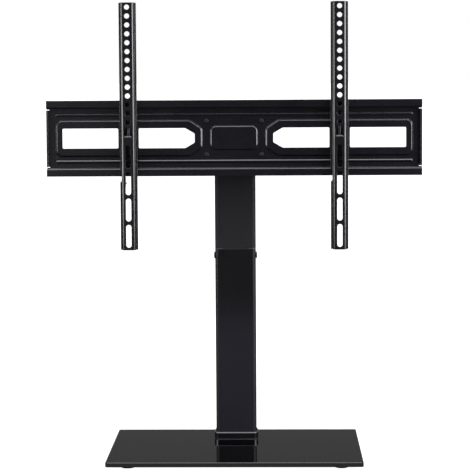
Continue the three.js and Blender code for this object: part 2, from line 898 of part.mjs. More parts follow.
// Rail: a hat section with a column of holes, long slots and an arch, two hooks over the plate's
// top edge, one ear under its bottom edge and a tongue bent back from the arch
const wallLine = railFaceWidth / 2 - railSheet / 2;
const plateTopInRail = plateHeight / 2 - railRise;
const plateBottomInRail = -plateHeight / 2 - railRise;
const bandBackInRail = fit + plateSheet;

function railSection() {
  const lipLine = -railSheet / 2;
  const faceLine = railSheet / 2 - railDepth;
  const lipBend = railBend - railSheet / 2;
  const shoulderBend = railShoulder - railSheet / 2;
  return sheetStrip(
    [
      new THREE.Vector2(-railWidth / 2, lipLine),
      new THREE.Vector2(-wallLine, lipLine),
      new THREE.Vector2(-wallLine, faceLine),
      new THREE.Vector2(wallLine, faceLine),
      new THREE.Vector2(wallLine, lipLine),
      new THREE.Vector2(railWidth / 2, lipLine),
    ],
    railSheet,
    [lipBend, shoulderBend, shoulderBend, lipBend],
  );
}

// Upper hook: an arm over the top edge of the plate that turns down behind its band
function upperHook(sign) {
  const low = plateTopInRail + fit;
  const behind = bandBackInRail + hookClearance;
  const far = behind + hookThickness;
  const root = -railDepth / 2;
  const outline = roundedOutline(
    [
      new THREE.Vector2(root, low),
      new THREE.Vector2(behind, low),
      new THREE.Vector2(behind, low - hookDrop),
      new THREE.Vector2(far, low - hookDrop),
      new THREE.Vector2(far, low + hookArmHeight),
      new THREE.Vector2(root, low + hookArmHeight),
    ],
    [0, 0, 0, hookRadius, hookThickness, 0],
  );
  const inner = sign * wallLine - railSheet / 2;
  return sideways(outline, inner, inner + railSheet);
}

// Lower ear: a straight arm under the bottom edge of the plate, with a drilled lug bent inwards
const earTop = plateBottomInRail - hookClearance;
const lugTop = earTop - lockLugDrop;
const lockScrewX = -wallLine + lockScrewInset;
const lockScrewY = bandBackInRail - plateSheet / 2;

function lowerEar() {
  const outline = roundedOutline(
    [
      new THREE.Vector2(-railDepth / 2, earTop - lowerEarHeight),
      new THREE.Vector2(lowerEarReach, earTop - lowerEarHeight),
      new THREE.Vector2(lowerEarReach, earTop),
      new THREE.Vector2(-railDepth / 2, earTop),
    ],
    [0, hookThickness, hookRadius, 0],
  );
  const inner = -wallLine - railSheet / 2;
  const ear = sideways(outline, inner, inner + railSheet);
  const lugEnd = lockLugWidth - wallLine;
  const lugOutline = rectangleCorners(-wallLine, lugEnd, -railSheet, lowerEarReach - railSheet);
  const lug = upright(lugOutline, lugTop - railSheet, lugTop);
  const thread = rod(lockScrewRadius + lockThreadClearance, -overrun - railSheet, overrun, smallRoundSteps);
  return ear.add(lug).subtract(moved(thread, lockScrewX, lockScrewY, lugTop));
}

const railTop = railLength / 2;
const archTop = railTop - archBelowTop;
const archBottom = archTop - archHeight;

function archOutline() {
  const radius = archWidth / 2;
  const crown = circlePoints(radius, smallRoundSteps, 0, archTop - radius).filter(
    (point) => point.y >= archTop - radius - mergeDistance,
  );
  crown.sort((a, b) => b.x - a.x);
  return [new THREE.Vector2(-radius, archBottom), new THREE.Vector2(radius, archBottom), ...crown];
}

// Tongue: the blank of the arch, bent back into the channel from the arch's lower edge
function tongue() {
  const faceLine = railSheet / 2 - railDepth;
  const level = archBottom - railSheet / 2;
  const strip = sheetStrip(
    [
      new THREE.Vector2(faceLine, level - 2 * railBend),
      new THREE.Vector2(faceLine, level),
      new THREE.Vector2(faceLine + tongueLength, level),
    ],
    railSheet,
    railBend - railSheet / 2,
  );
  const half = archWidth / 2 - tongueSideGap;
  const bent = sideways(strip, -half, half);
  const plan = roundedOutline(
    rectangleCorners(-half, half, -railDepth, faceLine + tongueLength),
    [0, 0, half - fit, half - fit],
  );
  return bent.intersect(upright(plan, level - railLength, level + railLength));
}

function rail() {
  const channel = upright(railSection(), -railTop, railTop);
  const through = (outline) => facing(outline, -railDepth - overrun, -railSheet - railBend);
  const holes = Array.from({ length: railHoleCount }, (_, k) =>
    through(circlePoints(railHoleRadius, smallRoundSteps, 0, railTop - railFirstHole - k * railHolePitch)),
  );
  const slots = Array.from({ length: slotCount }, (_, k) => {
    const low = -railTop + slotEndMargin + k * slotPitch;
    const corners = rectangleCorners(-slotWidth / 2, slotWidth / 2, low, low + slotLength);
    return through(roundedOutline(corners, slotWidth / 2 - mergeDistance));
  });
  const notchTop = plateBottomInRail + lipNotchAbove;
  const notchBottom = plateBottomInRail - lipNotchBelow;
  const notchDepth = (railWidth - railFaceWidth) / 2;
  const notch = facing(
    [
      new THREE.Vector2(-railWidth, notchBottom - lipNotchTaper),
      new THREE.Vector2(-railWidth / 2, notchBottom - lipNotchTaper),
      new THREE.Vector2(-railWidth / 2 + notchDepth, notchBottom),
      new THREE.Vector2(-railWidth / 2 + notchDepth, notchTop - lipNotchTaper),
      new THREE.Vector2(-railWidth / 2, notchTop),
      new THREE.Vector2(-railWidth, notchTop),
    ],
    -railDepth - overrun,
    overrun,
  );
  const pierced = cut(channel, [...holes, ...slots, through(archOutline()), notch]);
  return joined([pierced, tongue(), ...sideSigns.map(upperHook), lowerEar()]);
}

// Lock screw: a socket set screw driven up through the ear's lug to the plate's bottom edge
function lockScrew() {
  const shank = rod(lockScrewRadius, -lockScrewLength, 0, smallRoundSteps);
  const socketTop = lockSocketDepth - lockScrewLength;
  const socket = upright(circlePoints(lockSocketRadius, 6), -lockScrewLength - overrun, socketTop);
  return shank.subtract(socket);
}

// Assembly
const stand = new THREE.Group();

const base = new THREE.Group();
stand.add(base);
addPiece(base, "glass_base", glassBase(), blackGlass, 0, 0, glassUnderside);
const footSpacingX = glassWidth - 2 * footSideInset;
const footSpacingY = glassDepth - 2 * footEndInset;
for (const { side, x, y } of fourPlaces(footSpacingX, footSpacingY)) {
  addPiece(base, "foot_" + side, rubberFoot(), blackRubber, x, y, 0);
}

const column = new THREE.Group();
column.position.set(0, columnSetback, 0);
stand.add(column);
const clampPlateTop = glassUnderside - clampGasketThickness;
const clampPlateBottom = clampPlateTop - clampPlateThickness;
const clampSheet = (thickness) =>
  drilledSheet(clampPlateWidth, clampPlateDepth, clampCornerRadius, thickness, baseBoltRadius + fit);
addPiece(column, "clamp_gasket", clampSheet(clampGasketThickness), blackRubber, 0, 0, clampPlateTop);
addPiece(column, "clamp_plate", clampSheet(clampPlateThickness), powderCoat, 0, 0, clampPlateBottom);
const gasket = drilledSheet(
  columnWidth + 2 * collarReach,
  columnDepth + 2 * collarReach,
  columnCornerRadius + collarReach,
  gasketThickness,
  baseBoltRadius + fit,
);
addPiece(column, "base_gasket", gasket, blackRubber, 0, 0, glassTop);
for (const { side, x, y } of baseBoltPlaces) {
  addPiece(column, "base_bolt_" + side, baseBolt(), darkZinc, x, y, clampPlateBottom);
  addPiece(column, "glass_bush_" + side, glassBush(), blackNylon, x, y, glassUnderside);
}
addPiece(column, "lower_post", lowerPost(), powderCoat, 0, 0, postFoot);
addPiece(column, "foot_collar", footCollar(), powderCoat, 0, 0, postFoot);
addPiece(column, "post_liner", postLiner(), blackNylon, 0, 0, lowerPostTop);
for (const sign of sideSigns) {
  const side = sign < 0 ? "left" : "right";
  const outwards = new THREE.Vector3(sign, 0, 0);
  const bolt = laid(heightBolt(), outwards, new THREE.Vector3());
  addPiece(column, "height_bolt_" + side, bolt, darkZinc, sign * heightBoltSeat, 0, heightBoltLevel);
  const nut = laid(
    hexRing(heightNutRadius, heightBoltRadius + fit, heightNutThickness),
    outwards,
    new THREE.Vector3(),
  );
  addPiece(column, "height_nut_" + side, nut, darkZinc, sign * heightNutInside, 0, heightBoltLevel);
}

const mast = new THREE.Group();
mast.position.set(0, columnSetback, 0);
stand.add(mast);
addPiece(mast, "inner_post", innerPost(), powderCoat, 0, 0, innerPostBottom);
addPiece(mast, "upper_post", upperPost(), satinCoat, 0, 0, mastFoot);
addPiece(mast, "post_cap", postCap(), blackNylon, 0, 0, mastTop);

const pivot = new THREE.Group();
pivot.position.set(0, pivotPlace, plateCentreHeight);
stand.add(pivot);
addPiece(pivot, "head_bracket", headBracket(), powderCoat);
const headBoltSeat = headBack - headSheet;
for (const { side, x, z } of headBoltPlaces) {
  const bolt = laid(headBolt(), new THREE.Vector3(0, 1, 0), new THREE.Vector3());
  addPiece(pivot, "head_bolt_" + side, bolt, darkZinc, x, headBoltSeat, z);
}
addPiece(pivot, "swivel_bracket", swivelBracket(), powderCoat);
addPiece(pivot, "pivot_bolt", pivotBolt(), darkZinc);
addPiece(pivot, "pivot_sleeve", pivotSleeve(), darkZinc);
const pivotNut = hexRing(pivotHeadRadius, pivotRadius + fit, pivotNutHeight);
addPiece(pivot, "pivot_nut", pivotNut, darkZinc, 0, 0, -pivotHeadSeat - pivotNutHeight);
const washerLevel = headBracketHeight / 2 + slidingFit;
addPiece(pivot, "pivot_washer_top", pivotWasher(), blackNylon, 0, 0, washerLevel);
addPiece(pivot, "pivot_washer_bottom", pivotWasher(), blackNylon, 0, 0, -washerLevel - pivotWasherThickness);

const head = new THREE.Group();
head.position.set(0, 0, plateCentreHeight);
stand.add(head);
addPiece(head, "cross_plate", crossPlate(), powderCoat);
for (const { side, x, z } of rivetPlaces) {
  const rivet = laid(plateRivet(), new THREE.Vector3(0, 1, 0), new THREE.Vector3());
  addPiece(head, "plate_rivet_" + side, rivet, powderCoat, x, webFront - fit, z);
}

for (const sign of sideSigns) {
  const side = sign < 0 ? "left" : "right";
  const arm = new THREE.Group();
  arm.position.set(sign * railOffset, railBack, railRise);
  head.add(arm);
  addPiece(arm, "rail_" + side, rail(), powderCoat);
  const screwTop = plateBottomInRail - fit;
  addPiece(arm, "lock_screw_" + side, lockScrew(), darkZinc, lockScrewX, lockScrewY, screwTop);
}

export default stand;
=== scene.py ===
"""Dresses a table-top television stand: folded and pressed sheet metal, a glass base and a telescoping
column, with their finishes, a pale floor, soft light and the camera. The pieces are shaped in
millimetres about their own place and put into metres at the end."""

import json
import math

import bmesh
import bpy
from mathutils import Matrix, Vector


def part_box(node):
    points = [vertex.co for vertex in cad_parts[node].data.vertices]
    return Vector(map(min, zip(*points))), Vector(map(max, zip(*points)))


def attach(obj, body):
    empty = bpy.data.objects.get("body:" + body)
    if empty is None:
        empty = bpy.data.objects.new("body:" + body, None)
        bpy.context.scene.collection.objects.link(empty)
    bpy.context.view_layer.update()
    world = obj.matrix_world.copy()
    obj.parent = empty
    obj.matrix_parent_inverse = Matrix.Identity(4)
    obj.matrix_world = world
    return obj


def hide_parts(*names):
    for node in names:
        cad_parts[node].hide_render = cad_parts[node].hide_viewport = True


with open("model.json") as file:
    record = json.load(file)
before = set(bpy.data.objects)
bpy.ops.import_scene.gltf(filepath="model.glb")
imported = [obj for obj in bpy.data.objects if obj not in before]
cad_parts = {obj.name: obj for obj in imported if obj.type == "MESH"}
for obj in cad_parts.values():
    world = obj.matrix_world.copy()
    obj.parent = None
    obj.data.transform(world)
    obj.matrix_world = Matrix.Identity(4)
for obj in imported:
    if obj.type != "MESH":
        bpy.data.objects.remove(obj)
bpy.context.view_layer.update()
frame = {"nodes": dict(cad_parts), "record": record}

METRE = 1000.0
SIDES = (-1, 1)
NAMED_SIDES = (("left", -1), ("right", 1))

# Camera: place in millimetres, angles in radians, focal length in pixels of the square picture
PICTURE_PIXELS = 470
FOCAL_PIXELS = 1728.9
AXIS_ROW = 210
CAMERA_PLACE = (64.55, -3000.2, 653.9)
CAMERA_YAW = 0.0212
CAMERA_PITCH = -0.0749
CAMERA_ROLL = -0.006
SENSOR_WIDTH = 36
CLIP_END = 1000


# Finishes

class Wire:
    """One output of a node, for sums in a finish."""

    def __init__(self, finish, socket):
        self.finish = finish
        self.socket = socket

    def __add__(self, other):
        return self.finish.maths("ADD", self, other)

    __radd__ = __add__

    def __mul__(self, other):
        return self.finish.maths("MULTIPLY", self, other)

    __rmul__ = __mul__

    def __sub__(self, other):
        return self.finish.maths("SUBTRACT", self, other)

    def __rsub__(self, other):
        return self.finish.maths("SUBTRACT", other, self)


class Finish:
    """The nodes that feed one shader: a material's Principled shader, or the room's light."""

    def __init__(self, name, room=False):
        self.owner = bpy.data.worlds.new(name) if room else bpy.data.materials.new(name)
        self.owner.use_nodes = True
        self.nodes = self.owner.node_tree.nodes
        self.links = self.owner.node_tree.links
        self.shader = next(n for n in self.nodes if n.type == ("BACKGROUND" if room else "BSDF_PRINCIPLED"))

    def node(self, kind, output, settings=None, sockets=None):
        made = self.nodes.new(kind)
        for name, value in (settings or {}).items():
            if name == "stops":
                self.set_stops(made.color_ramp, value)
            else:
                setattr(made, name, value)
        for name, value in (sockets or {}).items():
            self.feed(made.inputs[name], value)
        return Wire(self, made.outputs[output])

    def set_stops(self, ramp, stops):
        for element, (place, shade) in zip(ramp.elements, stops):
            element.position = place
            element.color = (shade, shade, shade, 1)

    def feed(self, socket, value):
        if isinstance(value, Wire):
            self.links.new(value.socket, socket)
        else:
            socket.default_value = value

    def maths(self, operation, first, second):
        return self.node("ShaderNodeMath", "Value", {"operation": operation}, {0: first, 1: second})

    def shade(self, sockets):
        for name, value in sockets.items():
            self.feed(self.shader.inputs[name], value)
        return self.owner


def linear(red, green, blue):
    """A linear colour from screen values of 0 to 255."""
    return tuple((value / 255) ** 2.2 for value in (red, green, blue)) + (1,)


def place_wire(finish):
    return finish.node("ShaderNodeTexCoord", "Object")


def pointiness(finish):
    return finish.node("ShaderNodeNewGeometry", "Pointiness")


def axis_of(finish, place, axis):
    return finish.node("ShaderNodeSeparateXYZ", axis, None, {"Vector": place})


def noise(finish, place, scale, detail=2.0, roughness=0.5):
    """A cloudy pattern from 0 to 1; the scale is its number of waves in a metre."""
    sockets = {"Vector": place, "Scale": scale, "Detail": detail, "Roughness": roughness}
    return finish.node("ShaderNodeTexNoise", "Fac", None, sockets)


def ramp(finish, value, start, end):
    """Climbs from 0 to 1 in a straight line between two values."""
    return finish.node("ShaderNodeValToRGB", "Color", {"stops": [(start, 0), (end, 1)]}, {"Fac": value})


def fade(finish, value, start, end, low, high):
    """Passes softly from low to high between two values."""
    sockets = {"Value": value, "From Min": start, "From Max": end, "To Min": low, "To Max": high}
    return finish.node("ShaderNodeMapRange", "Result", {"interpolation_type": "SMOOTHSTEP"}, sockets)


def blend_colours(finish, share, first, second):
    sockets = {"Factor": share, "A": first, "B": second}
    made = finish.nodes.new("ShaderNodeMix")
    made.data_type = "RGBA"
    for name, value in sockets.items():
        socket = next(s for s in made.inputs if s.name == name and s.enabled)
        finish.feed(socket, value)
    return Wire(finish, next(s for s in made.outputs if s.enabled))


def bump(finish, height, strength, distance):
    sockets = {"Height": height, "Strength": strength, "Distance": distance}
    return finish.node("ShaderNodeBump", "Normal", None, sockets)


# Heights in metres between which the column's coat turns to its paler foot colour: painted light, a painted
# reflection of the bright floor in front on the lower column
PAINTED_LIGHT_FADE = (0.19, 0.29)
PEEL_DEPTH = 0.00008
MOULD_GRAIN_DEPTH = 0.0001
PLATE_GRAIN_DEPTH = 0.00005


def coated_steel(name, dark, light, gloss, peel, sheen, foot=None):
    """Baked coat on steel: a fine orange peel, slow changes of gloss and thin, paler edges.
    The coat may turn paler towards the foot, which is painted light: a painted reflection of the bright floor
    in front."""
    finish = Finish(name)
    place = place_wire(finish)
    grain = noise(finish, place, scale=2600, roughness=0.6)
    cloud = noise(finish, place, scale=22, detail=3.0)
    smear = ramp(finish, noise(finish, place, scale=7, detail=4.0, roughness=0.6), start=0.35, end=0.7)
    edge = ramp(finish, pointiness(finish), start=0.53, end=0.62)
    colour = blend_colours(finish, cloud * 0.7 + edge * 0.3, dark, light)
    # Painted light: the foot colour and its fade paint the bright floor's reflection onto the lower column
    if foot:
        painted_light_share = fade(finish, axis_of(finish, place, "Z"), *PAINTED_LIGHT_FADE, low=1, high=0)
        colour = blend_colours(finish, painted_light_share, colour, foot)
    return finish.shade({
        "Base Color": colour,
        "Roughness": smear * 0.05 + cloud * 0.05 + grain * 0.04 + (gloss - 0.07),
        "Metallic": 0.0,
        "Specular IOR Level": sheen,
        "Normal": bump(finish, grain, peel, PEEL_DEPTH),
    })


def polished_glass(name):
    """Black glass: a hard, even gloss with the faintest film of dust."""
    finish = Finish(name)
    place = place_wire(finish)
    film = ramp(finish, noise(finish, place, scale=9, detail=5.0, roughness=0.65), start=0.4, end=0.75)
    dust = ramp(finish, noise(finish, place, scale=900, roughness=0.7), start=0.68, end=0.8)
    return finish.shade({
        "Base Color": blend_colours(finish, dust * 0.5, linear(2, 2, 3), linear(10, 10, 11)),
        "Roughness": film * 0.03 + dust * 0.12 + 0.02,
        "IOR": 1.52,
        "Specular IOR Level": 0.14,
    })


def moulded(name, dark, light, gloss, scale, strength):
    """Moulded rubber or nylon: a fine, even grain."""
    finish = Finish(name)
    place = place_wire(finish)
    grain = noise(finish, place, scale, detail=4.0, roughness=0.65)
    cloud = noise(finish, place, scale=60)
    return finish.shade({
        "Base Color": blend_colours(finish, cloud, dark, light),
        "Roughness": grain * 0.1 + (gloss - 0.05),
        "Specular IOR Level": 0.1,
        "Normal": bump(finish, grain, strength, MOULD_GRAIN_DEPTH),
    })


def plated_steel(name):
    """Black zinc plate: dark metal with a cloudy passivated film and fine scratches."""
    finish = Finish(name)
    place = place_wire(finish)
    cloud = noise(finish, place, scale=160, detail=4.0, roughness=0.6)
    grain = noise(finish, place, scale=1800, detail=3.0, roughness=0.7)
    edge = ramp(finish, pointiness(finish), start=0.52, end=0.62)
    return finish.shade({
        "Base Color": blend_colours(finish, cloud * 0.6 + edge * 0.4, linear(12, 12, 13), linear(34, 34, 36)),
        "Roughness": cloud * 0.15 + grain * 0.1 + 0.24,
        "Metallic": 0.7,
        "Specular IOR Level": 0.2,
        "Normal": bump(finish, grain, 0.15, PLATE_GRAIN_DEPTH),
    })


# One finish for each of the record's material slots
finishes = {
    "powder_coat": coated_steel(
        "black_powder_coat", linear(5, 5, 7), linear(8, 8, 9.8), gloss=0.28, peel=0.12, sheen=0.075,
    ),
    "satin_coat": coated_steel(
        "satin_black_coat", linear(8.8, 8.8, 10.4), linear(11.3, 11.3, 12.9),
        gloss=0.62, peel=0.1, sheen=0.033,
    ),
    "black_glass": polished_glass("black_glass_gloss"),
    "rubber": moulded(
        "black_rubber", linear(5, 5, 5), linear(12, 12, 12), gloss=0.75, scale=1400, strength=0.35,
    ),
    "nylon": moulded(
        "black_nylon", linear(16, 16, 17), linear(24, 24, 25), gloss=0.5, scale=2200, strength=0.2,
    ),
    "fastener_zinc": plated_steel("black_zinc_plate"),
}

# The lower column's coat; its paler foot colour is painted light, a painted reflection of the bright floor in
# front
column_coat = coated_steel(
    "black_column_coat", linear(2, 2, 3.8), linear(4.5, 4.5, 6.3), gloss=0.45, peel=0.12, sheen=0.036,
    foot=linear(10.2, 10, 12.4),
)
rivet_coat = coated_steel(
    "black_rivet_coat", linear(5, 5, 7), linear(8, 8, 9.8), gloss=0.6, peel=0.05, sheen=0.03,
)

slot_of_node = {row["node"]: row["material_slot"] for row in frame["record"]["subparts"]}
body_of_node = {
    node: body for body, nodes in frame["record"]["behaviour"]["bodies"].items() for node in nodes
}
for node_name, node in frame["nodes"].items():
    node.data.materials.clear()
    node.data.materials.append(finishes[slot_of_node[node_name]])


# Shaping sheet metal and turned parts, in millimetres

ARC_SEGMENTS = 8
BEND_STEPS = 8
PRESS_STEPS = 6
RIDGE_STEPS = 4
DOME_STEPS = 6
HOLE_SEGMENTS = 40
HEXAGON = 6
TURN_STEPS = 64
EDGE_ROUNDING = 0.25
EDGE_SEGMENTS = 2
EDGE_ANGLE = math.radians(42)
TOUCH = 0.01
MERGE_DISTANCE = 0.0005

# Share of a half width that rounds an end, just short of a full half circle
ROUND_SHARE = 0.995


def add_object(name, data):
    made = bpy.data.objects.new(name, data)
    bpy.context.scene.collection.objects.link(made)
    return made


def as_mesh(bm, name):
    mesh = bpy.data.meshes.new(name)
    bm.to_mesh(mesh)
    bm.free()
    return mesh


def on_front(across, up, depth):
    return Vector((across, depth, up))


def on_plan(across, back, height):
    return Vector((across, back, height))


def on_side(back, up, across):
    return Vector((across, back, up))


def outline(bm, corners, setbacks, plane=on_front, level=0.0):
    """A closed outline through its corners, each rounded by its own setback."""
    before = set(bm.edges)
    verts = [bm.verts.new(plane(first, second, level)) for first, second in corners]
    for start, end in zip(verts, verts[1:] + verts[:1]):
        bm.edges.new((start, end))
    if not isinstance(setbacks, list):
        setbacks = [setbacks] * len(corners)
    for vert, setback in zip(verts, setbacks):
        if setback:
            bmesh.ops.bevel(
                bm, geom=[vert], offset=setback, offset_type="OFFSET", segments=ARC_SEGMENTS,
                profile=0.5, affect="VERTICES", material=-1,
            )
    return [edge for edge in bm.edges if edge not in before]


def circle(bm, radius, first, second, plane=on_front, level=0.0, segments=HOLE_SEGMENTS):
    before = set(bm.edges)
    made = bmesh.ops.create_circle(bm, cap_ends=False, segments=segments, radius=radius)
    for vert in made["verts"]:
        vert.co = plane(vert.co.y + first, vert.co.x + second, level)
    return [edge for edge in bm.edges if edge not in before]


def rectangle(left, right, low, high):
    return [(left, low), (right, low), (right, high), (left, high)]


def centred(width, depth):
    return rectangle(-width / 2, width / 2, -depth / 2, depth / 2)


def spread(width, depth):
    """The four places of a bolt pattern about its middle."""
    return [(across * width / 2, along * depth / 2) for across in SIDES for along in SIDES]


def flipped(corners, sign):
    return [(sign * first, second) for first, second in corners]


def fill(bm, edges):
    bmesh.ops.triangle_fill(bm, use_beauty=True, use_dissolve=False, edges=edges)


def soft_slope(width, rise):
    """Steps inwards and outwards that climb like drawn metal, level at the foot and at the face."""
    climb = [0.5 - 0.5 * math.cos(math.pi * k / PRESS_STEPS) for k in range(PRESS_STEPS + 1)]
    return [(width / PRESS_STEPS, rise * (b - a)) for a, b in zip(climb, climb[1:])]


def round_ridge(width, rise):
    """Steps inwards and outwards that climb like a quarter of a round bar."""
    climb = [math.sin(0.5 * math.pi * k / RIDGE_STEPS) for k in range(RIDGE_STEPS + 1)]
    return [(width / RIDGE_STEPS, rise * (b - a)) for a, b in zip(climb, climb[1:])]


def press(bm, corners, setbacks, slope, level=0.0, openings=()):
    """A form pressed forwards out of the sheet; its outline stays in the sheet as the foot."""
    before = set(bm.edges)
    face = bmesh.ops.contextual_create(bm, geom=outline(bm, corners, setbacks, level=level))["faces"][0]
    face.normal_update()
    if face.normal.y > 0:
        face.normal_flip()
    for inward, rise in slope:
        bmesh.ops.inset_region(
            bm, faces=[face], thickness=inward, depth=rise, use_even_offset=True, use_boundary=True,
        )
    if openings:
        rim = list(face.edges)
        bm.faces.remove(face)
        fill(bm, rim + [edge for opening in openings for edge in opening])
    return [
        edge for edge in bm.edges
        if edge not in before and len(edge.link_faces) == 1 and all(near(v.co.y, level) for v in edge.verts)
    ]


def fold(bm, edges, centre, axis, angle):
    """Bends the sheet on from its edges about an axis, and gives the edges that it ends in."""
    verts = list({vert for edge in edges for vert in edge.verts})
    made = bmesh.ops.spin(
        bm, geom=verts + list(edges), cent=centre, axis=axis, dvec=(0, 0, 0), angle=angle,
        steps=BEND_STEPS, use_merge=False, use_normal_flip=False, use_duplicate=False,
    )
    return [item for item in made["geom_last"] if isinstance(item, bmesh.types.BMEdge)]


def run(bm, edges, reach):
    """Draws the sheet on flat from its edges along reach, and gives the edges that it ends in."""
    made = bmesh.ops.extrude_edge_only(bm, edges=edges)["geom"]
    verts = {item for item in made if isinstance(item, bmesh.types.BMVert)}
    bmesh.ops.translate(bm, vec=reach, verts=list(verts))
    return [
        item for item in made
        if isinstance(item, bmesh.types.BMEdge) and all(vert in verts for vert in item.verts)
    ]


def edges_where(bm, test):
    return [edge for edge in bm.edges if all(test(vert.co) for vert in edge.verts)]


def near(value, target):
    return abs(value - target) < TOUCH


def thickened(bm, thickness):
    """The sheet given its thickness about its middle, as a mesh."""
    bmesh.ops.remove_doubles(bm, verts=bm.verts, dist=MERGE_DISTANCE)
    bmesh.ops.recalc_face_normals(bm, faces=bm.faces)
    raw = as_mesh(bm, "sheet")
    holder = add_object("sheet", raw)
    wall = holder.modifiers.new("wall", "SOLIDIFY")
    wall.thickness = thickness
    wall.offset = 0.0
    wall.use_even_offset = True
    shaped = bpy.context.evaluated_depsgraph_get()
    mesh = bpy.data.meshes.new_from_object(holder.evaluated_get(shaped))
    bpy.data.objects.remove(holder)
    bpy.data.meshes.remove(raw)
    return mesh


def slab(bm, edges, reach):
    """The flat shape inside the edges, drawn out along reach into a closed solid."""
    before = set(bm.faces)
    fill(bm, edges)
    faces = [face for face in bm.faces if face not in before]
    made = bmesh.ops.extrude_face_region(bm, geom=faces, use_keep_orig=True)["geom"]
    verts = [item for item in made if isinstance(item, bmesh.types.BMVert)]
    bmesh.ops.translate(bm, vec=reach, verts=verts)


def turned(profile):
    """A form turned about Z from radius and height pairs."""
    bm = bmesh.new()
    verts = [bm.verts.new((radius, 0, height)) for radius, height in profile]
    edges = [bm.edges.new(pair) for pair in zip(verts, verts[1:])]
    bmesh.ops.spin(
        bm, geom=verts + edges, cent=(0, 0, 0), axis=(0, 0, 1), dvec=(0, 0, 0), angle=2 * math.pi,
        steps=TURN_STEPS, use_merge=True, use_normal_flip=False, use_duplicate=False,
    )
    bmesh.ops.remove_doubles(bm, verts=bm.verts, dist=MERGE_DISTANCE)
    return bm


def make_piece(name, parts, node, place, turn=None, rounding=EDGE_ROUNDING, finish=None):
    """Joins the parts, puts them in metres at their place, and lets them stand for a node."""
    whole = bmesh.new()
    for part in parts:
        mesh = as_mesh(part, "part") if isinstance(part, bmesh.types.BMesh) else part
        whole.from_mesh(mesh)
        bpy.data.meshes.remove(mesh)
    bmesh.ops.recalc_face_normals(whole, faces=whole.faces)
    spot = Matrix.Translation(Vector(place) / METRE) @ (turn or Matrix.Identity(4))
    bmesh.ops.transform(whole, matrix=spot @ Matrix.Scale(1 / METRE, 4), verts=whole.verts)
    for face in whole.faces:
        face.smooth = True
    piece = add_object(name, as_mesh(whole, name))
    piece.data.materials.append(finish or finishes[slot_of_node[node]])
    if rounding:
        edge = piece.modifiers.new("edge", "BEVEL")
        edge.width = rounding / METRE
        edge.segments = EDGE_SEGMENTS
        edge.limit_method = "ANGLE"
        edge.angle_limit = EDGE_ANGLE
        edge.use_clamp_overlap = False
    normals = piece.modifiers.new("normals", "WEIGHTED_NORMAL")
    normals.keep_sharp = True
    normals.weight = 100
    normals.thresh = 0.000001
    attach(piece, body_of_node[node])
    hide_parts(node)


def box_of(node):
    low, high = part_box(node)
    return low * METRE, high * METRE


def middle_of(node):
    low, high = box_of(node)
    return (low + high) / 2


def foot_of(node):
    foot = middle_of(node)
    foot.z = box_of(node)[0].z
    return foot


# Cross plate. Levels and reaches are measured from its middle

PLATE_SHEET = 2
PLATE_BEND = 2
BAND_HEIGHT = 13.6
BAND_STEP = 8
FLANGE_BEND = 1.3
RELIEF_DEPTH = 5
RELIEF_HEIGHT = 3
RELIEF_SLIVER = 0.6
WINDOW_HALF = 17.3
WINDOW_WIDTH = 97
WINDOW_SETBACK = 2
WINDOW_SLANT_SETBACK = 1.2
WINDOW_TIP_HALF = 7.8
WINDOW_TIP_LENGTH = 16.4
WINDOW_START = 68.1
BRIDGE_WIDTH = 35.5
SURROUND = {"tip": 54.4, "end": 309.6, "tip_half": 17.2, "tip_length": 22, "half": 32}
SURROUND_SETBACK = 11.5
SURROUND_SLANT_SETBACK = 4.5
SURROUND_RISE = 2.5
SURROUND_SLOPE = 3.4
PANEL_WIDTH = 82
PANEL_HEIGHT = 42.4
PANEL_SETBACK = 10
PANEL_RISE = 2
PANEL_SLOPE = 2.8
BEAD_END = 309
BEAD_LEVEL = 40.5
BEAD_HALF = 2.2
BEAD_RISE = 1.5
BEAD_ROUND_SHARE = 0.95
BEAD_SLOPE_SHARE = 0.85
RIB_HALF = 1.1
RIB_REACH = 22
RIB_LOW = -8
RIB_RISE = 1
RIB_SLOPE_SHARE = 0.8
RIVET_SPACING = (95.4, 58.4)
RIVET_HOLE = 2.8


def tipped(tip, end, tip_half, tip_length, half):
    """A rectangle whose inner end narrows to a blunt tip."""
    return [
        (tip, -tip_half), (tip + tip_length, -half), (end, -half),
        (end, half), (tip + tip_length, half), (tip, tip_half),
    ]


def tipped_setbacks(slant, square):
    return [slant] * 2 + [square] * 2 + [slant] * 2


def plate_edge(half_width, web_edge, web_end, flange_half):
    """The outline of the flat web, with a relief in each corner between the band and the end flange."""
    relief = half_width - RELIEF_DEPTH
    sliver = web_edge - RELIEF_SLIVER
    quarter = [
        (half_width, web_edge), (half_width, sliver), (relief, sliver),
        (relief, flange_half), (web_end, flange_half),
    ]
    right = [(x, -z) for x, z in quarter] + quarter[::-1]
    return right + [(-x, z) for x, z in right[::-1]]


def window_surround(bm, sign):
    """The raised surround of one side, with its two windows and the short rib between them."""
    face_level = -SURROUND_RISE
    inner_end = WINDOW_START + WINDOW_WIDTH
    outer_start = inner_end + BRIDGE_WIDTH
    bridge = sign * (inner_end + BRIDGE_WIDTH / 2)
    outer = rectangle(outer_start, outer_start + WINDOW_WIDTH, -WINDOW_HALF, WINDOW_HALF)
    inner = tipped(WINDOW_START, inner_end, WINDOW_TIP_HALF, WINDOW_TIP_LENGTH, WINDOW_HALF)
    inner_setbacks = tipped_setbacks(WINDOW_SLANT_SETBACK, WINDOW_SETBACK)
    rib = rectangle(bridge - RIB_HALF, bridge + RIB_HALF, RIB_LOW, RIB_REACH)
    ridge = round_ridge(RIB_HALF * RIB_SLOPE_SHARE, RIB_RISE)
    openings = [
        outline(bm, flipped(outer, sign), WINDOW_SETBACK, level=face_level),
        outline(bm, flipped(inner, sign), inner_setbacks, level=face_level),
        press(bm, rib, RIB_HALF * BEAD_ROUND_SHARE, ridge, level=face_level),
    ]
    surround = tipped(**SURROUND)
    setbacks = tipped_setbacks(SURROUND_SLANT_SETBACK, SURROUND_SETBACK)
    slope = soft_slope(SURROUND_SLOPE, SURROUND_RISE)
    return press(bm, flipped(surround, sign), setbacks, slope, openings=openings)


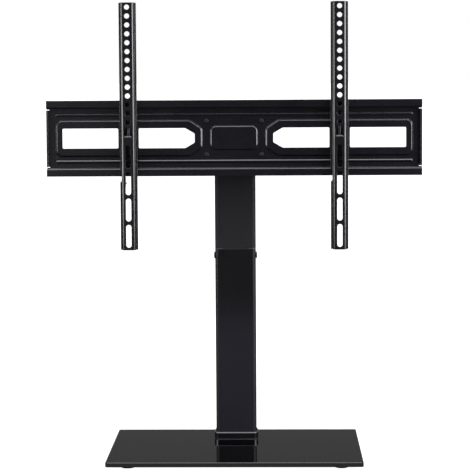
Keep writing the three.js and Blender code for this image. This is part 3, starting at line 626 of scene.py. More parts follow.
def long_bead(bm, level):
    bead = rectangle(-BEAD_END, BEAD_END, level - BEAD_HALF, level + BEAD_HALF)
    ridge = round_ridge(BEAD_HALF * BEAD_SLOPE_SHARE, BEAD_RISE)
    return press(bm, bead, BEAD_HALF * BEAD_ROUND_SHARE, ridge)


def middle_panel(bm):
    return press(bm, centred(PANEL_WIDTH, PANEL_HEIGHT), PANEL_SETBACK, soft_slope(PANEL_SLOPE, PANEL_RISE))


def bend_band(bm, sign, web_edge, plate_half):
    """Steps the upper or lower edge forwards and turns it upright again."""
    edge = edges_where(bm, lambda co: near(co.z, sign * web_edge) and near(co.y, 0))
    edge = fold(bm, edge, (0, -PLATE_BEND, sign * web_edge), (1, 0, 0), sign * math.pi / 2)
    edge = run(bm, edge, (0, 2 * PLATE_BEND - BAND_STEP, 0))
    turn_line = web_edge + 2 * PLATE_BEND
    turn_back = (0, PLATE_BEND - BAND_STEP, sign * turn_line)
    edge = fold(bm, edge, turn_back, (1, 0, 0), -sign * math.pi / 2)
    run(bm, edge, (0, 0, sign * (plate_half - turn_line)))


def bend_flange(bm, sign, web_end, flange_half):
    """Bends one end of the web forwards."""
    end = edges_where(bm, lambda co: near(co.x, sign * web_end) and abs(co.z) < flange_half + TOUCH)
    end = fold(bm, end, (sign * web_end, -FLANGE_BEND, 0), (0, 0, 1), -sign * math.pi / 2)
    run(bm, end, (0, FLANGE_BEND + PLATE_SHEET / 2 - BAND_STEP, 0))


def cross_plate():
    low, high = box_of("cross_plate")
    half_width = (high.x - low.x) / 2
    half_height = (high.z - low.z) / 2
    fold_line = half_height - BAND_HEIGHT
    web_edge = fold_line + PLATE_SHEET / 2 - PLATE_BEND
    web_end = half_width - PLATE_SHEET / 2 - FLANGE_BEND
    flange_half = fold_line - RELIEF_HEIGHT

    bm = bmesh.new()
    loops = [outline(bm, plate_edge(half_width, web_edge, web_end, flange_half), 0)]
    for sign in SIDES:
        loops.append(window_surround(bm, sign))
        loops.append(long_bead(bm, sign * BEAD_LEVEL))
        for level in SIDES:
            loops.append(circle(bm, RIVET_HOLE, sign * RIVET_SPACING[0] / 2, level * RIVET_SPACING[1] / 2))
    loops.append(middle_panel(bm))
    fill(bm, [edge for loop in loops for edge in loop])
    for sign in SIDES:
        bend_band(bm, sign, web_edge, half_height)
        bend_flange(bm, sign, web_end, flange_half)
    centre = Vector((0, high.y - PLATE_SHEET / 2, (low.z + high.z) / 2))
    make_piece("pressed_cross_plate", [thickened(bm, PLATE_SHEET)], "cross_plate", centre)


cross_plate()


# Rails. Depths are measured forwards and backwards from the face that lies on the plate

RAIL_SHEET = 2
RAIL_BEND = 3.4
RAIL_ROUNDING = 0.5
LIP_BEND = 1.6
RAIL_WALL_LINE = 10.8
RAIL_DEPTH = 15
HOLE_RADIUS = 4.35
HOLE_PITCH = 15.2
HOLE_COUNT = 14
FIRST_HOLE = 8
SLOT_WIDTH = 9.2
SLOT_LENGTH = 39.6
SLOT_PITCH = 45.6
SLOT_COUNT = 4
SLOT_MARGIN = 4.7
SLOT_ROUND_SHARE = 0.99
ARCH_WIDTH = 14.4
ARCH_HEIGHT = 14.5
ARCH_BELOW_TOP = 213.8
TONGUE_HALF = 6.3
TONGUE_LENGTH = 11
TONGUE_SETBACK = 5.9
NOTCH_ABOVE = 9.6
NOTCH_BELOW = 7.9
NOTCH_TAPER = 2.4
NOTCH_MARGIN = 0.1
EAR_SHEET = 1.9
EAR_HEIGHT = 12
EAR_REACH = 6.5
EAR_GAP = 0.8
HOOK_BEHIND = 3.1
HOOK_THICKNESS = 4
HOOK_ARM = 9
HOOK_DROP = 8
INNER_SETBACK = 2
OUTER_SETBACK = 4
SEAT_GAP = 0.3
LUG_DROP = 10
LUG_REACH = 7
LUG_SETBACK = 1.5
LOCK_SCREW_INSET = 3.4
LOCK_SCREW_PLACE = 1.3
LOCK_SCREW_RADIUS = 2
THREAD_GAP = 0.1


def rail_face(bm, half_length, web, web_half, notch_low, notch_high):
    """The flat front of a rail, with its holes, slots and arch. Gives the line of the tongue's bend."""
    edge_corners = [
        (-web_half, -half_length), (web_half, -half_length), (web_half, half_length),
        (-web_half, half_length), (-web_half, notch_high), (-web_half, notch_low),
    ]
    arch_top = half_length - ARCH_BELOW_TOP
    bend_line = arch_top - ARCH_HEIGHT - RAIL_SHEET / 2 - RAIL_BEND
    arch = [
        (-TONGUE_HALF, bend_line), (TONGUE_HALF, bend_line), (ARCH_WIDTH / 2, bend_line),
        (ARCH_WIDTH / 2, arch_top), (-ARCH_WIDTH / 2, arch_top), (-ARCH_WIDTH / 2, bend_line),
    ]
    crown = ARCH_WIDTH / 2 * ROUND_SHARE
    loops = [
        outline(bm, edge_corners, 0, level=web),
        outline(bm, arch, [0, 0, 0, crown, crown, 0], level=web),
    ]
    for count in range(HOLE_COUNT):
        loops.append(circle(bm, HOLE_RADIUS, 0, half_length - FIRST_HOLE - count * HOLE_PITCH, level=web))
    for count in range(SLOT_COUNT):
        start = SLOT_MARGIN + count * SLOT_PITCH - half_length
        slot = rectangle(-SLOT_WIDTH / 2, SLOT_WIDTH / 2, start, start + SLOT_LENGTH)
        loops.append(outline(bm, slot, SLOT_WIDTH / 2 * SLOT_ROUND_SHARE, level=web))
    fill(bm, [edge for loop in loops for edge in loop])
    return bend_line


def bend_rail_side(bm, side, web, web_half, lip_end, notch_low, notch_high):
    """One wall of a rail with the lip at its back; the left lip has a tapered notch."""
    notched = side < 0
    wall_back = -RAIL_SHEET / 2 - LIP_BEND
    lip_line = RAIL_WALL_LINE + LIP_BEND
    edge = edges_where(bm, lambda co: near(co.x, side * web_half) and near(co.y, web))
    edge = fold(bm, edge, (side * web_half, web + RAIL_BEND, 0), (0, 0, 1), side * math.pi / 2)
    edge = run(bm, edge, (0, wall_back - web - RAIL_BEND, 0))
    edge = fold(bm, edge, (side * lip_line, wall_back, 0), (0, 0, 1), -side * math.pi / 2)
    if notched:
        low, high = notch_low - NOTCH_MARGIN, notch_high + NOTCH_MARGIN
        edge = [piece for piece in edge if not all(low < vert.co.z < high for vert in piece.verts)]
    lip = run(bm, edge, (side * (lip_end - lip_line), 0, 0))
    for vert in {vert for piece in lip for vert in piece.verts}:
        if notched and near(vert.co.z, notch_low):
            vert.co.z -= NOTCH_TAPER
        elif notched and near(vert.co.z, notch_high):
            vert.co.z += NOTCH_TAPER


def bend_tongue(bm, web, bend_line):
    """The tongue under the arch, bent back with a round tip."""
    root = edges_where(
        bm, lambda co: near(co.z, bend_line) and abs(co.x) < TONGUE_HALF + TOUCH and near(co.y, web),
    )
    fold(bm, root, (0, web + RAIL_BEND, bend_line), (1, 0, 0), -math.pi / 2)
    tip = rectangle(-TONGUE_HALF, TONGUE_HALF, web + RAIL_BEND, web + TONGUE_LENGTH)
    setbacks = [0, 0, TONGUE_SETBACK, TONGUE_SETBACK]
    fill(bm, outline(bm, tip, setbacks, on_plan, bend_line + RAIL_BEND))


def rail_channel(half_length, half_width, plate_bottom):
    web = RAIL_SHEET / 2 - RAIL_DEPTH
    web_half = RAIL_WALL_LINE - RAIL_BEND
    notch_low = plate_bottom - NOTCH_BELOW
    notch_high = plate_bottom + NOTCH_ABOVE - NOTCH_TAPER
    bm = bmesh.new()
    bend_line = rail_face(bm, half_length, web, web_half, notch_low, notch_high)
    for side in SIDES:
        bend_rail_side(bm, side, web, web_half, half_width, notch_low, notch_high)
    bend_tongue(bm, web, bend_line)
    return thickened(bm, RAIL_SHEET)


def rail_ears(plate_top, plate_bottom):
    """Two hooks over the plate, and below it an ear whose lug carries the lock screw."""
    root = -RAIL_DEPTH / 2
    far = HOOK_BEHIND + HOOK_THICKNESS
    seat = plate_top + SEAT_GAP
    hook = [
        (root, seat), (HOOK_BEHIND, seat), (HOOK_BEHIND, seat - HOOK_DROP),
        (far, seat - HOOK_DROP), (far, seat + HOOK_ARM), (root, seat + HOOK_ARM),
    ]
    hook_setbacks = [0, 0, 0, INNER_SETBACK, OUTER_SETBACK, 0]
    bm = bmesh.new()
    for side in SIDES:
        inner = side * RAIL_WALL_LINE - EAR_SHEET / 2
        slab(bm, outline(bm, hook, hook_setbacks, on_side, inner), (EAR_SHEET, 0, 0))
    ear_top = plate_bottom - EAR_GAP
    ear = rectangle(root, EAR_REACH, ear_top - EAR_HEIGHT, ear_top)
    ear_setbacks = [0, OUTER_SETBACK, INNER_SETBACK, 0]
    inner = -RAIL_WALL_LINE - EAR_SHEET / 2
    slab(bm, outline(bm, ear, ear_setbacks, on_side, inner), (EAR_SHEET, 0, 0))
    lug_bottom = ear_top - LUG_DROP - EAR_SHEET
    lug = rectangle(-RAIL_WALL_LINE, LUG_REACH - RAIL_WALL_LINE, -RAIL_SHEET, EAR_REACH - RAIL_SHEET)
    screw_line = LOCK_SCREW_INSET - RAIL_WALL_LINE
    thread = circle(bm, LOCK_SCREW_RADIUS + THREAD_GAP, screw_line, LOCK_SCREW_PLACE, on_plan, lug_bottom)
    edges = outline(bm, lug, [0, LUG_SETBACK, LUG_SETBACK, 0], on_plan, lug_bottom) + thread
    slab(bm, edges, (0, 0, EAR_SHEET))
    return bm


def rail(side):
    node = "rail_" + side
    low, high = box_of(node)
    plate_low, plate_high = box_of("cross_plate")
    centre = Vector((middle_of(node).x, low.y + RAIL_DEPTH, (low.z + high.z) / 2))
    plate_top = plate_high.z - centre.z
    plate_bottom = plate_low.z - centre.z
    channel = rail_channel((high.z - low.z) / 2, (high.x - low.x) / 2, plate_bottom)
    ears = rail_ears(plate_top, plate_bottom)
    make_piece("slotted_rail_" + side, [channel, ears], node, centre, rounding=RAIL_ROUNDING)


for side in ("left", "right"):
    rail(side)


# Column

TUBE_WIDTH = 72
TUBE_DEPTH = 40
TUBE_CORNER = 6
LOWER_WALL = 2
LOWER_ROUNDING = 0.15
UPPER_WALL = 3.5
WELD_BITE = 0.1
FOOT_PLATE_THICKNESS = 6
LINER_INSET = 2.3
LINER_CORNER = 4
LINER_WALL = 1.2
LINER_DROP = 0.2
LINER_RIM = 1.5
RIM_DROP = 0.1
PAD_PROUD = 2.4
PAD_END = 22.5
PAD_WALL = 3.4
PAD_END_SETBACK = 0.6
PAD_INNER_SETBACK = 3
CAP_THICKNESS = 2.5
CAP_ROUNDING = 0.9
PLUG_INSET = 6.6
PLUG_CORNER = 2.8
PLUG_WALL = 2
PLUG_BELOW_TOP = 1
COLLAR_REACH = 3
COLLAR_GAP = 0.3
COLLAR_SLOPE = 1.8
COLLAR_CREST = 1
SOFT_ROUNDING = 0.3


column_centre = middle_of("lower_post")
column_centre.z = 0


def column_section(inset):
    """The column in plan, drawn in all round by an inset."""
    return centred(TUBE_WIDTH - 2 * inset, TUBE_DEPTH - 2 * inset)


def tube(inset, corner, wall, low, high):
    """A tube of the column between two levels; inset and corner are those of its outside."""
    bm = bmesh.new()
    around = outline(bm, column_section(inset + wall / 2), corner - wall / 2, on_plan, low)
    run(bm, around, (0, 0, high - low))
    return thickened(bm, wall)


def lower_post():
    low, high = box_of("lower_post")
    sleeve = tube(0, TUBE_CORNER, LOWER_WALL, low.z, high.z)
    inside = column_section(LOWER_WALL - WELD_BITE)
    foot_plate = bmesh.new()
    edges = outline(foot_plate, inside, TUBE_CORNER - LOWER_WALL, on_plan, low.z)
    slab(foot_plate, edges, (0, 0, FOOT_PLATE_THICKNESS))
    make_piece(
        "lower_column_tube", [sleeve, foot_plate], "lower_post", column_centre,
        rounding=LOWER_ROUNDING, finish=column_coat,
    )


def upper_post():
    low, high = box_of("upper_post")
    sleeve = tube(0, TUBE_CORNER, UPPER_WALL, low.z, high.z)
    make_piece("upper_column_tube", [sleeve], "upper_post", column_centre)


def liner_pads(rim_level):
    """The two ends of the liner's rim, which stand out to the faces of the column."""
    bm = bmesh.new()
    half_width, half_depth = TUBE_WIDTH / 2, TUBE_DEPTH / 2
    pad = [
        (half_width, -half_depth), (half_width, half_depth), (PAD_END, half_depth),
        (PAD_END, half_depth - PAD_WALL), (half_width - PAD_WALL, half_depth - PAD_WALL),
        (half_width - PAD_WALL, PAD_WALL - half_depth), (PAD_END, PAD_WALL - half_depth),
        (PAD_END, -half_depth),
    ]
    setbacks = [
        TUBE_CORNER, TUBE_CORNER, PAD_END_SETBACK, 0,
        PAD_INNER_SETBACK, PAD_INNER_SETBACK, 0, PAD_END_SETBACK,
    ]
    for sign in SIDES:
        slab(bm, outline(bm, flipped(pad, sign), setbacks, on_plan, rim_level), (0, 0, LINER_RIM))
    return bm


def post_liner():
    low, high = box_of("post_liner")
    rim_level = high.z - LINER_RIM
    rim = tube(
        PAD_PROUD, TUBE_CORNER - PAD_PROUD, UPPER_WALL - PAD_PROUD, rim_level, high.z - RIM_DROP,
    )
    sleeve = tube(LINER_INSET, LINER_CORNER, LINER_WALL, low.z, high.z - LINER_DROP)
    parts = [rim, sleeve, liner_pads(rim_level)]
    make_piece("column_liner", parts, "post_liner", column_centre, rounding=SOFT_ROUNDING)


def post_cap():
    low, high = box_of("post_cap")
    lid = bmesh.new()
    edges = outline(lid, column_section(0), TUBE_CORNER, on_plan, high.z - CAP_THICKNESS)
    slab(lid, edges, (0, 0, CAP_THICKNESS))
    plug = tube(PLUG_INSET, PLUG_CORNER, PLUG_WALL, low.z, high.z - PLUG_BELOW_TOP)
    make_piece("column_cap", [lid, plug], "post_cap", column_centre, rounding=CAP_ROUNDING)


def foot_collar():
    """A ring round the foot of the post, its outer top edge sloped."""
    low, high = box_of("foot_collar")
    ring = bmesh.new()
    outside = centred(high.x - low.x, high.y - low.y)
    edges = outline(ring, outside, TUBE_CORNER + COLLAR_REACH, on_plan, low.z)
    edges += outline(ring, column_section(-COLLAR_GAP), TUBE_CORNER + COLLAR_GAP, on_plan, low.z)
    slab(ring, edges, (0, 0, high.z - low.z))
    half_width = TUBE_WIDTH / 2 + COLLAR_CREST
    half_depth = TUBE_DEPTH / 2 + COLLAR_CREST
    shoulder = edges_where(
        ring, lambda co: near(co.z, high.z) and (abs(co.x) > half_width or abs(co.y) > half_depth),
    )
    bmesh.ops.bevel(
        ring, geom=shoulder, offset=COLLAR_SLOPE, offset_type="OFFSET", segments=1, profile=0.5,
        affect="EDGES", material=-1,
    )
    make_piece("base_collar", [ring], "foot_collar", column_centre, rounding=SOFT_ROUNDING)


lower_post()
upper_post()
post_liner()
post_cap()
foot_collar()


# Glass base and feet

BASE_CORNERS = ("front_left", "front_right", "rear_left", "rear_right")
BASE_BOLT_SPACING = (44, 18)
GLASS_HOLE_RADIUS = 6
GLASS_CORNER = 4
GLASS_ROUNDING = 1.0

# Radius and height pairs: the hollow of the sole, its tread, the sloping flank and the top
FOOT_PROFILE = (
    (0, 0.8), (5, 0.8), (5.8, 0.4), (6.4, 0), (10.6, 0), (11.3, 0.2), (11.7, 0.6),
    (13.6, 4.0), (13.9, 4.5), (14, 5), (14, 5.7), (13.8, 6), (0, 6),
)


def drilled_plate(node, corner, hole_radius, level, hole_line):
    """A level plate with the holes of the four base bolts about a line."""
    low, high = box_of(node)
    plate = bmesh.new()
    edges = outline(plate, centred(high.x - low.x, high.y - low.y), corner, on_plan, level)
    for across, back in spread(*BASE_BOLT_SPACING):
        edges += circle(plate, hole_radius, across, hole_line + back, on_plan, level)
    slab(plate, edges, (0, 0, high.z - low.z))
    return plate


def glass_base():
    level = box_of("glass_base")[0].z
    plate = drilled_plate("glass_base", GLASS_CORNER, GLASS_HOLE_RADIUS, level, column_centre.y)
    make_piece("polished_glass_base", [plate], "glass_base", (0, 0, 0), rounding=GLASS_ROUNDING)


def rubber_foot(node):
    spot = middle_of(node)
    make_piece("rubber_" + node, [turned(FOOT_PROFILE)], node, (spot.x, spot.y, 0), rounding=0)


glass_base()
for corner in BASE_CORNERS:
    rubber_foot("foot_" + corner)


# Screws, rivets and washers. Each is shaped on Z with its seat at 0

SCREW_ROUNDING = 0.12
SCREW_TIP = 0.6
SOCKET_RIM_SHARE = 1.15
CROWN_SHARE = 2.5
CHAMFER_SHARE = 0.6
HEIGHT_BOLT_HEAD = 2.3
BASE_BOLT_HEAD = 1.8
SET_SCREW_RIM = 1.25
SET_SCREW_SHOULDER = 1.7
SET_SCREW_SOCKET = 1.1
SET_SCREW_SOCKET_DEPTH = 3
SET_SCREW_CHAMFER = 0.3
SET_SCREW_CONE = 1.2
SET_SCREW_POINT = 1
RIVET_RADIUS = 2.5
RIVET_HEAD_RADIUS = 4.2
RIVET_HEAD_HEIGHT = 1.4
RIVET_RIM_HEIGHT = 0.3
RIVET_TAIL_FLAT = 3.6
RIVET_TAIL_RIM = 0.9
HEAD_BOLT_HEAD = 4
HEAD_BOLT_ROUNDING = 0.15


def dome(radius, foot, top, flat):
    """Radius and height pairs of a crown from its rim to the edge of its flat top."""
    pairs = []
    for step in range(DOME_STEPS + 1):
        swing = 0.5 * math.pi * step / DOME_STEPS
        pairs.append((flat + (radius - flat) * math.cos(swing), foot + (top - foot) * math.sin(swing)))
    return pairs


def hexagon_socket(bm, rim_radius, level, radius, depth):
    """Closes an open end at a level with a hexagon socket that runs on by depth."""
    rim = edges_where(bm, lambda co: near(co.z, level) and near(co.xy.length, rim_radius))
    socket = circle(bm, radius, 0, 0, on_plan, level, segments=HEXAGON)
    fill(bm, rim + socket)
    fill(bm, run(bm, socket, (0, 0, depth)))


def socket_screw(head_radius, head_height, crown, shank_radius, shank_length, socket_radius, socket_depth):
    """A round-headed screw: the head above its seat, with a hexagon socket, and a plain shank."""
    tip = min(SCREW_TIP, shank_radius / 4)
    flat = max(socket_radius * SOCKET_RIM_SHARE, head_radius - CROWN_SHARE * crown)
    profile = [
        (0, -shank_length), (shank_radius - tip, -shank_length), (shank_radius, tip - shank_length),
        (shank_radius, 0), (head_radius, 0),
    ]
    bm = turned(profile + dome(head_radius, head_height - crown, head_height, flat))
    hexagon_socket(bm, flat, head_height, socket_radius, -socket_depth)
    return bm


def hexagon_body(radius, low, high, chamfer, bore=0.0):
    """A hexagon head or nut between two levels; a head's upper corners are turned down."""
    bm = bmesh.new()
    edges = circle(bm, radius, 0, 0, on_plan, low, segments=HEXAGON)
    if bore:
        edges = edges + circle(bm, bore, 0, 0, on_plan, low)
    slab(bm, edges, (0, 0, high - low))
    if not bore:
        top = [face for face in bm.faces if all(near(vert.co.z, high) for vert in face.verts)]
        bmesh.ops.inset_region(bm, faces=top, thickness=chamfer, depth=0.0, use_even_offset=True)
        for vert in bm.verts:
            if near(vert.co.z, high) and near(vert.co.xy.length, radius):
                vert.co.z = high - chamfer * CHAMFER_SHARE
    return bm


def round_bar(radius, low, high, tip=SCREW_TIP):
    return turned([(0, low), (radius - tip, low), (radius, low + tip), (radius, high), (0, high)])


def washer(outer, inner, low, high, chamfer):
    return turned([
        (inner, low), (outer - chamfer, low), (outer, low + chamfer), (outer, high - chamfer),
        (outer - chamfer, high), (inner, high), (inner, low),
    ])


def quarter_turn(axis, sign=1):
    return Matrix.Rotation(sign * math.pi / 2, 4, axis)


def height_bolt(side, sign):
    node = "height_bolt_" + side
    low, high = box_of(node)
    spot = middle_of(node)
    seat = (high.x if sign > 0 else low.x) - sign * HEIGHT_BOLT_HEAD
    bolt = socket_screw(
        head_radius=6.1, head_height=HEIGHT_BOLT_HEAD, crown=1.7, shank_radius=4,
        shank_length=high.x - low.x - HEIGHT_BOLT_HEAD, socket_radius=2.1, socket_depth=1.6,
    )
    make_piece(
        "button_head_bolt_" + side, [bolt], node, (seat, spot.y, spot.z), quarter_turn("Y", sign),
        rounding=SCREW_ROUNDING,
    )


def lock_screw(side):
    """A set screw that points upwards, with a cone at its tip and a socket in its lower end."""
    node = "lock_screw_" + side
    low, high = box_of(node)
    spot = middle_of(node)
    foot = low.z - high.z
    screw = turned([
        (SET_SCREW_RIM, foot), (SET_SCREW_SHOULDER, foot), (LOCK_SCREW_RADIUS, foot + SET_SCREW_CHAMFER),
        (LOCK_SCREW_RADIUS, -SET_SCREW_CONE), (SET_SCREW_POINT, 0), (0, 0),
    ])
    hexagon_socket(screw, SET_SCREW_RIM, foot, SET_SCREW_SOCKET, SET_SCREW_SOCKET_DEPTH)
    make_piece("socket_set_screw_" + side, [screw], node, (spot.x, spot.y, high.z), rounding=0)


def plate_rivet(corner):
    node = "plate_rivet_" + corner
    low, high = box_of(node)
    spot = middle_of(node)
    grip = high.y - low.y - 2 * RIVET_HEAD_HEIGHT
    tail = grip + RIVET_HEAD_HEIGHT
    profile = [
        (0, tail), (RIVET_TAIL_FLAT, tail), (RIVET_HEAD_RADIUS, grip + RIVET_TAIL_RIM),
        (RIVET_HEAD_RADIUS, grip), (RIVET_RADIUS, grip), (RIVET_RADIUS, 0), (RIVET_HEAD_RADIUS, 0),
    ]
    crown = dome(RIVET_HEAD_RADIUS, RIVET_RIM_HEIGHT, RIVET_HEAD_HEIGHT, 0)
    rivet = turned(profile + [(radius, -height) for radius, height in crown])
    make_piece(
        "domed_rivet_" + corner, [rivet], node, (spot.x, low.y + RIVET_HEAD_HEIGHT, spot.z),
        quarter_turn("X", -1), rounding=0, finish=rivet_coat,
    )


def head_bolt(corner):
    node = "head_bolt_" + corner
    low, high = box_of(node)
    spot = middle_of(node)
    head = hexagon_body(radius=5.8, low=0.7, high=HEAD_BOLT_HEAD, chamfer=0.8)
    flange = washer(outer=5.0, inner=2, low=0, high=0.9, chamfer=0.2)
    shank = round_bar(radius=3, low=low.y + HEAD_BOLT_HEAD - high.y, high=0.5)
    make_piece(
        "hexagon_bolt_" + corner, [head, flange, shank], node, (spot.x, low.y + HEAD_BOLT_HEAD, spot.z),
        quarter_turn("X"), rounding=HEAD_BOLT_ROUNDING,
    )


def base_bolt(corner):
    node = "base_bolt_" + corner
    low, high = box_of(node)
    spot = middle_of(node)
    bolt = socket_screw(
        head_radius=7, head_height=BASE_BOLT_HEAD, crown=1.2, shank_radius=4,
        shank_length=high.z - low.z - BASE_BOLT_HEAD, socket_radius=2.5, socket_depth=1.3,
    )
    make_piece(
        "low_head_bolt_" + corner, [bolt], node, (spot.x, spot.y, low.z + BASE_BOLT_HEAD),
        Matrix.Rotation(math.pi, 4, "X"), rounding=SCREW_ROUNDING,
    )


for side, sign in NAMED_SIDES:
    height_bolt(side, sign)
    lock_screw(side)
for corner in ("upper_left", "upper_right", "lower_left", "lower_right"):
    plate_rivet(corner)
    head_bolt(corner)
for corner in BASE_CORNERS:
    base_bolt(corner)


# Head brackets and pivot. Each is shaped about the pivot's middle

BRACKET_SHEET = 3
BRACKET_BEND = 3
BRACKET_SHOULDER = 7
SHOULDER_SETBACK = 2
LUG_RADIUS = 17
HEAD_BOLT_SPACING = (38, 36)
HEAD_BOLT_HOLE = 3.3
PIVOT_RADIUS = 5
PIVOT_HOLE = 5.3
PIVOT_THREAD = 5.05
PIVOT_HEAD_RADIUS = 9.8
PIVOT_HEAD_HEIGHT = 6.4
PIVOT_ROUNDING = 0.2
WASHER_RADIUS = 16
SLEEVE_RADIUS = 9
pivot_centre = middle_of("pivot_sleeve")


def channel_bracket(name, node, back, hole_spacing, hole_radius):
    """A folded channel: a back plate with a lug above and below, tapered to a round pivot end."""
    low, high = box_of(node)
    half = (high.x - low.x) / 2
    half_height = (high.z - low.z) / 2
    away = -math.copysign(1, back)
    line = back + away * BRACKET_SHEET / 2
    bend_line = half_height - BRACKET_SHEET / 2 - BRACKET_BEND
    bm = bmesh.new()
    edges = outline(bm, rectangle(-half, half, -bend_line, bend_line), 0, level=line)
    for across, up in spread(*hole_spacing):
        edges += circle(bm, hole_radius, across, up, level=line)
    fill(bm, edges)
    root = line + away * BRACKET_BEND
    shoulder = back + away * BRACKET_SHOULDER
    plan = [
        (half, root), (half, shoulder), (LUG_RADIUS, 0), (LUG_RADIUS, away * LUG_RADIUS),
        (-LUG_RADIUS, away * LUG_RADIUS), (-LUG_RADIUS, 0), (-half, shoulder), (-half, root),
    ]
    tip = LUG_RADIUS * ROUND_SHARE
    setbacks = [0, SHOULDER_SETBACK, 0, tip, tip, 0, SHOULDER_SETBACK, 0]
    for sign in SIDES:
        edge = edges_where(bm, lambda co: near(co.z, sign * bend_line) and near(co.y, line))
        fold(bm, edge, (0, root, sign * bend_line), (1, 0, 0), -away * sign * math.pi / 2)
        level = sign * (half_height - BRACKET_SHEET / 2)
        lug = outline(bm, plan, setbacks, on_plan, level)
        fill(bm, lug + circle(bm, PIVOT_HOLE, 0, 0, on_plan, level))
    make_piece(name, [thickened(bm, BRACKET_SHEET)], node, pivot_centre)


def brackets():
    fixed = box_of("head_bracket")[1].y - pivot_centre.y
    channel_bracket("fixed_head_bracket", "head_bracket", fixed, HEAD_BOLT_SPACING, HEAD_BOLT_HOLE)
    swung = box_of("swivel_bracket")[0].y - pivot_centre.y
    channel_bracket("swivelling_bracket", "swivel_bracket", swung, RIVET_SPACING, RIVET_HOLE)


def pivot_bolt():
    low, high = box_of("pivot_bolt")
    seat = high.z - pivot_centre.z - PIVOT_HEAD_HEIGHT
    head = hexagon_body(PIVOT_HEAD_RADIUS, seat + 0.9, seat + PIVOT_HEAD_HEIGHT, chamfer=1.2)
    flange = washer(outer=8.6, inner=4, low=seat, high=seat + 1.1, chamfer=0.2)
    shank = round_bar(PIVOT_RADIUS, low.z - pivot_centre.z, seat + 1, tip=0.8)
    parts = [head, flange, shank]
    make_piece("pivot_hexagon_bolt", parts, "pivot_bolt", pivot_centre, rounding=PIVOT_ROUNDING)


def pivot_nut():
    low, high = box_of("pivot_nut")
    nut = hexagon_body(PIVOT_HEAD_RADIUS, 2.2, high.z - low.z, chamfer=0, bore=PIVOT_THREAD)
    collar = washer(outer=8.2, inner=PIVOT_THREAD, low=0, high=2.4, chamfer=0.7)
    make_piece("pivot_lock_nut", [nut, collar], "pivot_nut", foot_of("pivot_nut"), rounding=PIVOT_ROUNDING)


def pivot_washer(node):
    low, high = box_of(node)
    ring = washer(WASHER_RADIUS, PIVOT_HOLE, low=0, high=high.z - low.z, chamfer=0.3)
    make_piece("nylon_" + node, [ring], node, foot_of(node), rounding=0)


def pivot_sleeve():
    low, high = box_of("pivot_sleeve")
    half = (high.z - low.z) / 2
    sleeve = washer(SLEEVE_RADIUS, PIVOT_HOLE, low=-half, high=half, chamfer=0.5)
    make_piece("pivot_spacer_sleeve", [sleeve], "pivot_sleeve", pivot_centre, rounding=0)


brackets()
pivot_bolt()
pivot_nut()
pivot_washer("pivot_washer_top")
pivot_washer("pivot_washer_bottom")
pivot_sleeve()


# Clamp plate under the glass

CLAMP_CORNER = 8
CLAMP_HOLE_RADIUS = 4.3
CLAMP_ROUNDING = 0.4


def clamp_plate():
    plate = drilled_plate("clamp_plate", CLAMP_CORNER, CLAMP_HOLE_RADIUS, level=0, hole_line=0)
    make_piece("under_clamp_plate", [plate], "clamp_plate", foot_of("clamp_plate"), rounding=CLAMP_ROUNDING)


clamp_plate()


# Studio. Places of lights are in metres

FLOOR_HALF = 400
LIGHT_TARGET = (0, 0, 0.55)
SIDE_LIGHT_OUT = 1.9
SIDE_LIGHT_FRONT = -1.0
SIDE_LIGHT_WIDTH = 1.4

# What the coats reflect: heights above the horizon in degrees, the band's foot as sines, and how
# bright it is there
BAND_FOOT = (-0.04, 0)
BAND_TOP = (5.5, 11)
ABOVE_BAND = 0.19
TABLE_NEAR_EDGE = (-14.5, -12.3)
TABLE_NEAR_GLOW = 0.55
TABLE_FAR_EDGE = (-8.4, -7.4)
TABLE_GLOW = 1.9
ROOM_GLOW = 0.1
FRONT_TO_BACK = (-0.2, 0.5)


def aim_camera():
    data = bpy.data.cameras.new("studio_camera")
    data.sensor_fit = "HORIZONTAL"
    data.sensor_width = SENSOR_WIDTH
    data.lens = FOCAL_PIXELS / PICTURE_PIXELS * SENSOR_WIDTH
    data.shift_y = (AXIS_ROW - PICTURE_PIXELS / 2) / PICTURE_PIXELS
    data.clip_end = CLIP_END
    camera = add_object("studio_camera", data)
    ahead = Vector((
        -math.sin(CAMERA_YAW) * math.cos(CAMERA_PITCH),
        math.cos(CAMERA_YAW) * math.cos(CAMERA_PITCH),
        math.sin(CAMERA_PITCH),
    ))
    level = Vector((math.cos(CAMERA_YAW), math.sin(CAMERA_YAW), 0))
    upright = level.cross(ahead)
    across = level * math.cos(CAMERA_ROLL) + upright * math.sin(CAMERA_ROLL)
    over = across.cross(ahead)
    turn = Matrix((across, over, -ahead)).transposed().to_4x4()
    camera.matrix_world = Matrix.Translation(Vector(CAMERA_PLACE) / METRE) @ turn
    bpy.context.scene.camera = camera


glass_flag = bpy.data.collections.new("flagged_from_soft_boxes")
glass_flag.objects.link(bpy.data.objects["polished_glass_base"])
glass_flag.collection_objects[0].light_linking.link_state = "EXCLUDE"


def soft_light(name, place, target, width, height, radiance, glints=True):
    """A soft box, given by how bright its face looks. A flag keeps it out of the glass."""
    data = bpy.data.lights.new(name, "AREA")
    data.shape = "RECTANGLE"
    data.size = width
    data.size_y = height
    data.energy = radiance * math.pi * width * height
    light = add_object(name, data)
    light.light_linking.receiver_collection = glass_flag
    light.visible_glossy = glints
    light.location = place
    light.rotation_euler = (Vector(target) - Vector(place)).to_track_quat("-Z", "Y").to_euler()


def side_light(name, sign, level, height, radiance):
    """A soft box beside the stand, level with what it lights."""
    place = (sign * SIDE_LIGHT_OUT, SIDE_LIGHT_FRONT, level)
    soft_light(name, place, (0, 0, level), SIDE_LIGHT_WIDTH, height, radiance)


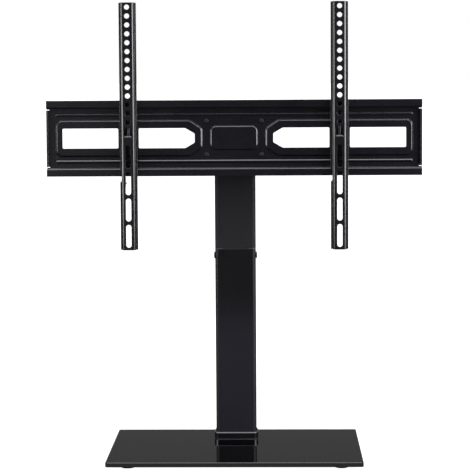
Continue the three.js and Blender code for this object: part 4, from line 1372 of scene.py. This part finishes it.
def sky_light(name, elevation, spread_angle, strength):
    """A wide, distant light from above and a little in front."""
    data = bpy.data.lights.new(name, "SUN")
    data.angle = math.radians(spread_angle)
    data.energy = strength
    light = add_object(name, data)
    rise = math.radians(elevation)
    source = Vector((0, -math.cos(rise), math.sin(rise)))
    light.rotation_euler = (-source).to_track_quat("-Z", "Y").to_euler()


def sines(angles):
    return [math.sin(math.radians(angle)) for angle in angles]


def room_light():
    """What the coats reflect: a pale band behind at eye level, and in front a dim room over a pale table.
    Seen directly, it is white paper."""
    room = Finish("studio", room=True)
    direction = room.node("ShaderNodeTexCoord", "Generated")
    back = axis_of(room, direction, "Y")
    up = axis_of(room, direction, "Z")
    behind = fade(room, up, *BAND_FOOT, 0, 1) * fade(room, up, *sines(BAND_TOP), 1, ABOVE_BAND)
    table = fade(room, up, *sines(TABLE_NEAR_EDGE), TABLE_NEAR_GLOW, 1)
    before = table * fade(room, up, *sines(TABLE_FAR_EDGE), TABLE_GLOW, ROOM_GLOW)
    glow = before + (behind - before) * fade(room, back, *FRONT_TO_BACK, 0, 1)
    seen = room.node("ShaderNodeLightPath", "Is Camera Ray")
    bpy.context.scene.world = room.shade({
        "Color": (1, 1, 1, 1),
        "Strength": glow + (1 - glow) * seen,
    })


def pale_floor():
    """A white floor, lit from within, which only the camera sees."""
    paper = Finish("pale_floor").shade({
        "Base Color": (0.015, 0.015, 0.015, 1),
        "Roughness": 0.9,
        "Emission Color": (1, 1, 1, 1),
        "Emission Strength": 1.0,
    })
    shape = bmesh.new()
    bmesh.ops.create_grid(shape, x_segments=1, y_segments=1, size=FLOOR_HALF)
    sheet = add_object("floor", as_mesh(shape, "floor"))
    sheet.data.materials.append(paper)
    sheet.visible_glossy = False
    sheet.visible_diffuse = False


def studio():
    room_light()
    pale_floor()
    sky_light("overhead_light", elevation=78, spread_angle=48, strength=22)
    side_light("left_light", -1, level=0.575, height=0.55, radiance=88)
    side_light("high_left_light", -1, level=1.25, height=0.8, radiance=20)
    side_light("right_light", 1, level=0.975, height=1.35, radiance=108)
    for side, sign in NAMED_SIDES:
        above = (sign * 1.06, -1.15, 2.1)
        soft_light("upper_" + side + "_light", above, LIGHT_TARGET, width=0.9, height=0.9, radiance=70)
        behind = (sign * 1.5, 2.2, 1.2)
        soft_light(
            "back_" + side + "_light", behind, LIGHT_TARGET, width=1.2, height=1.2, radiance=60, glints=False,
        )
    soft_light("front_left_strip", (-0.92, -3.0, 0.45), (-0.3, 0, 0.5), width=0.6, height=1.2, radiance=3.5)


aim_camera()
studio()
bpy.context.scene.view_settings.view_transform = "Standard"
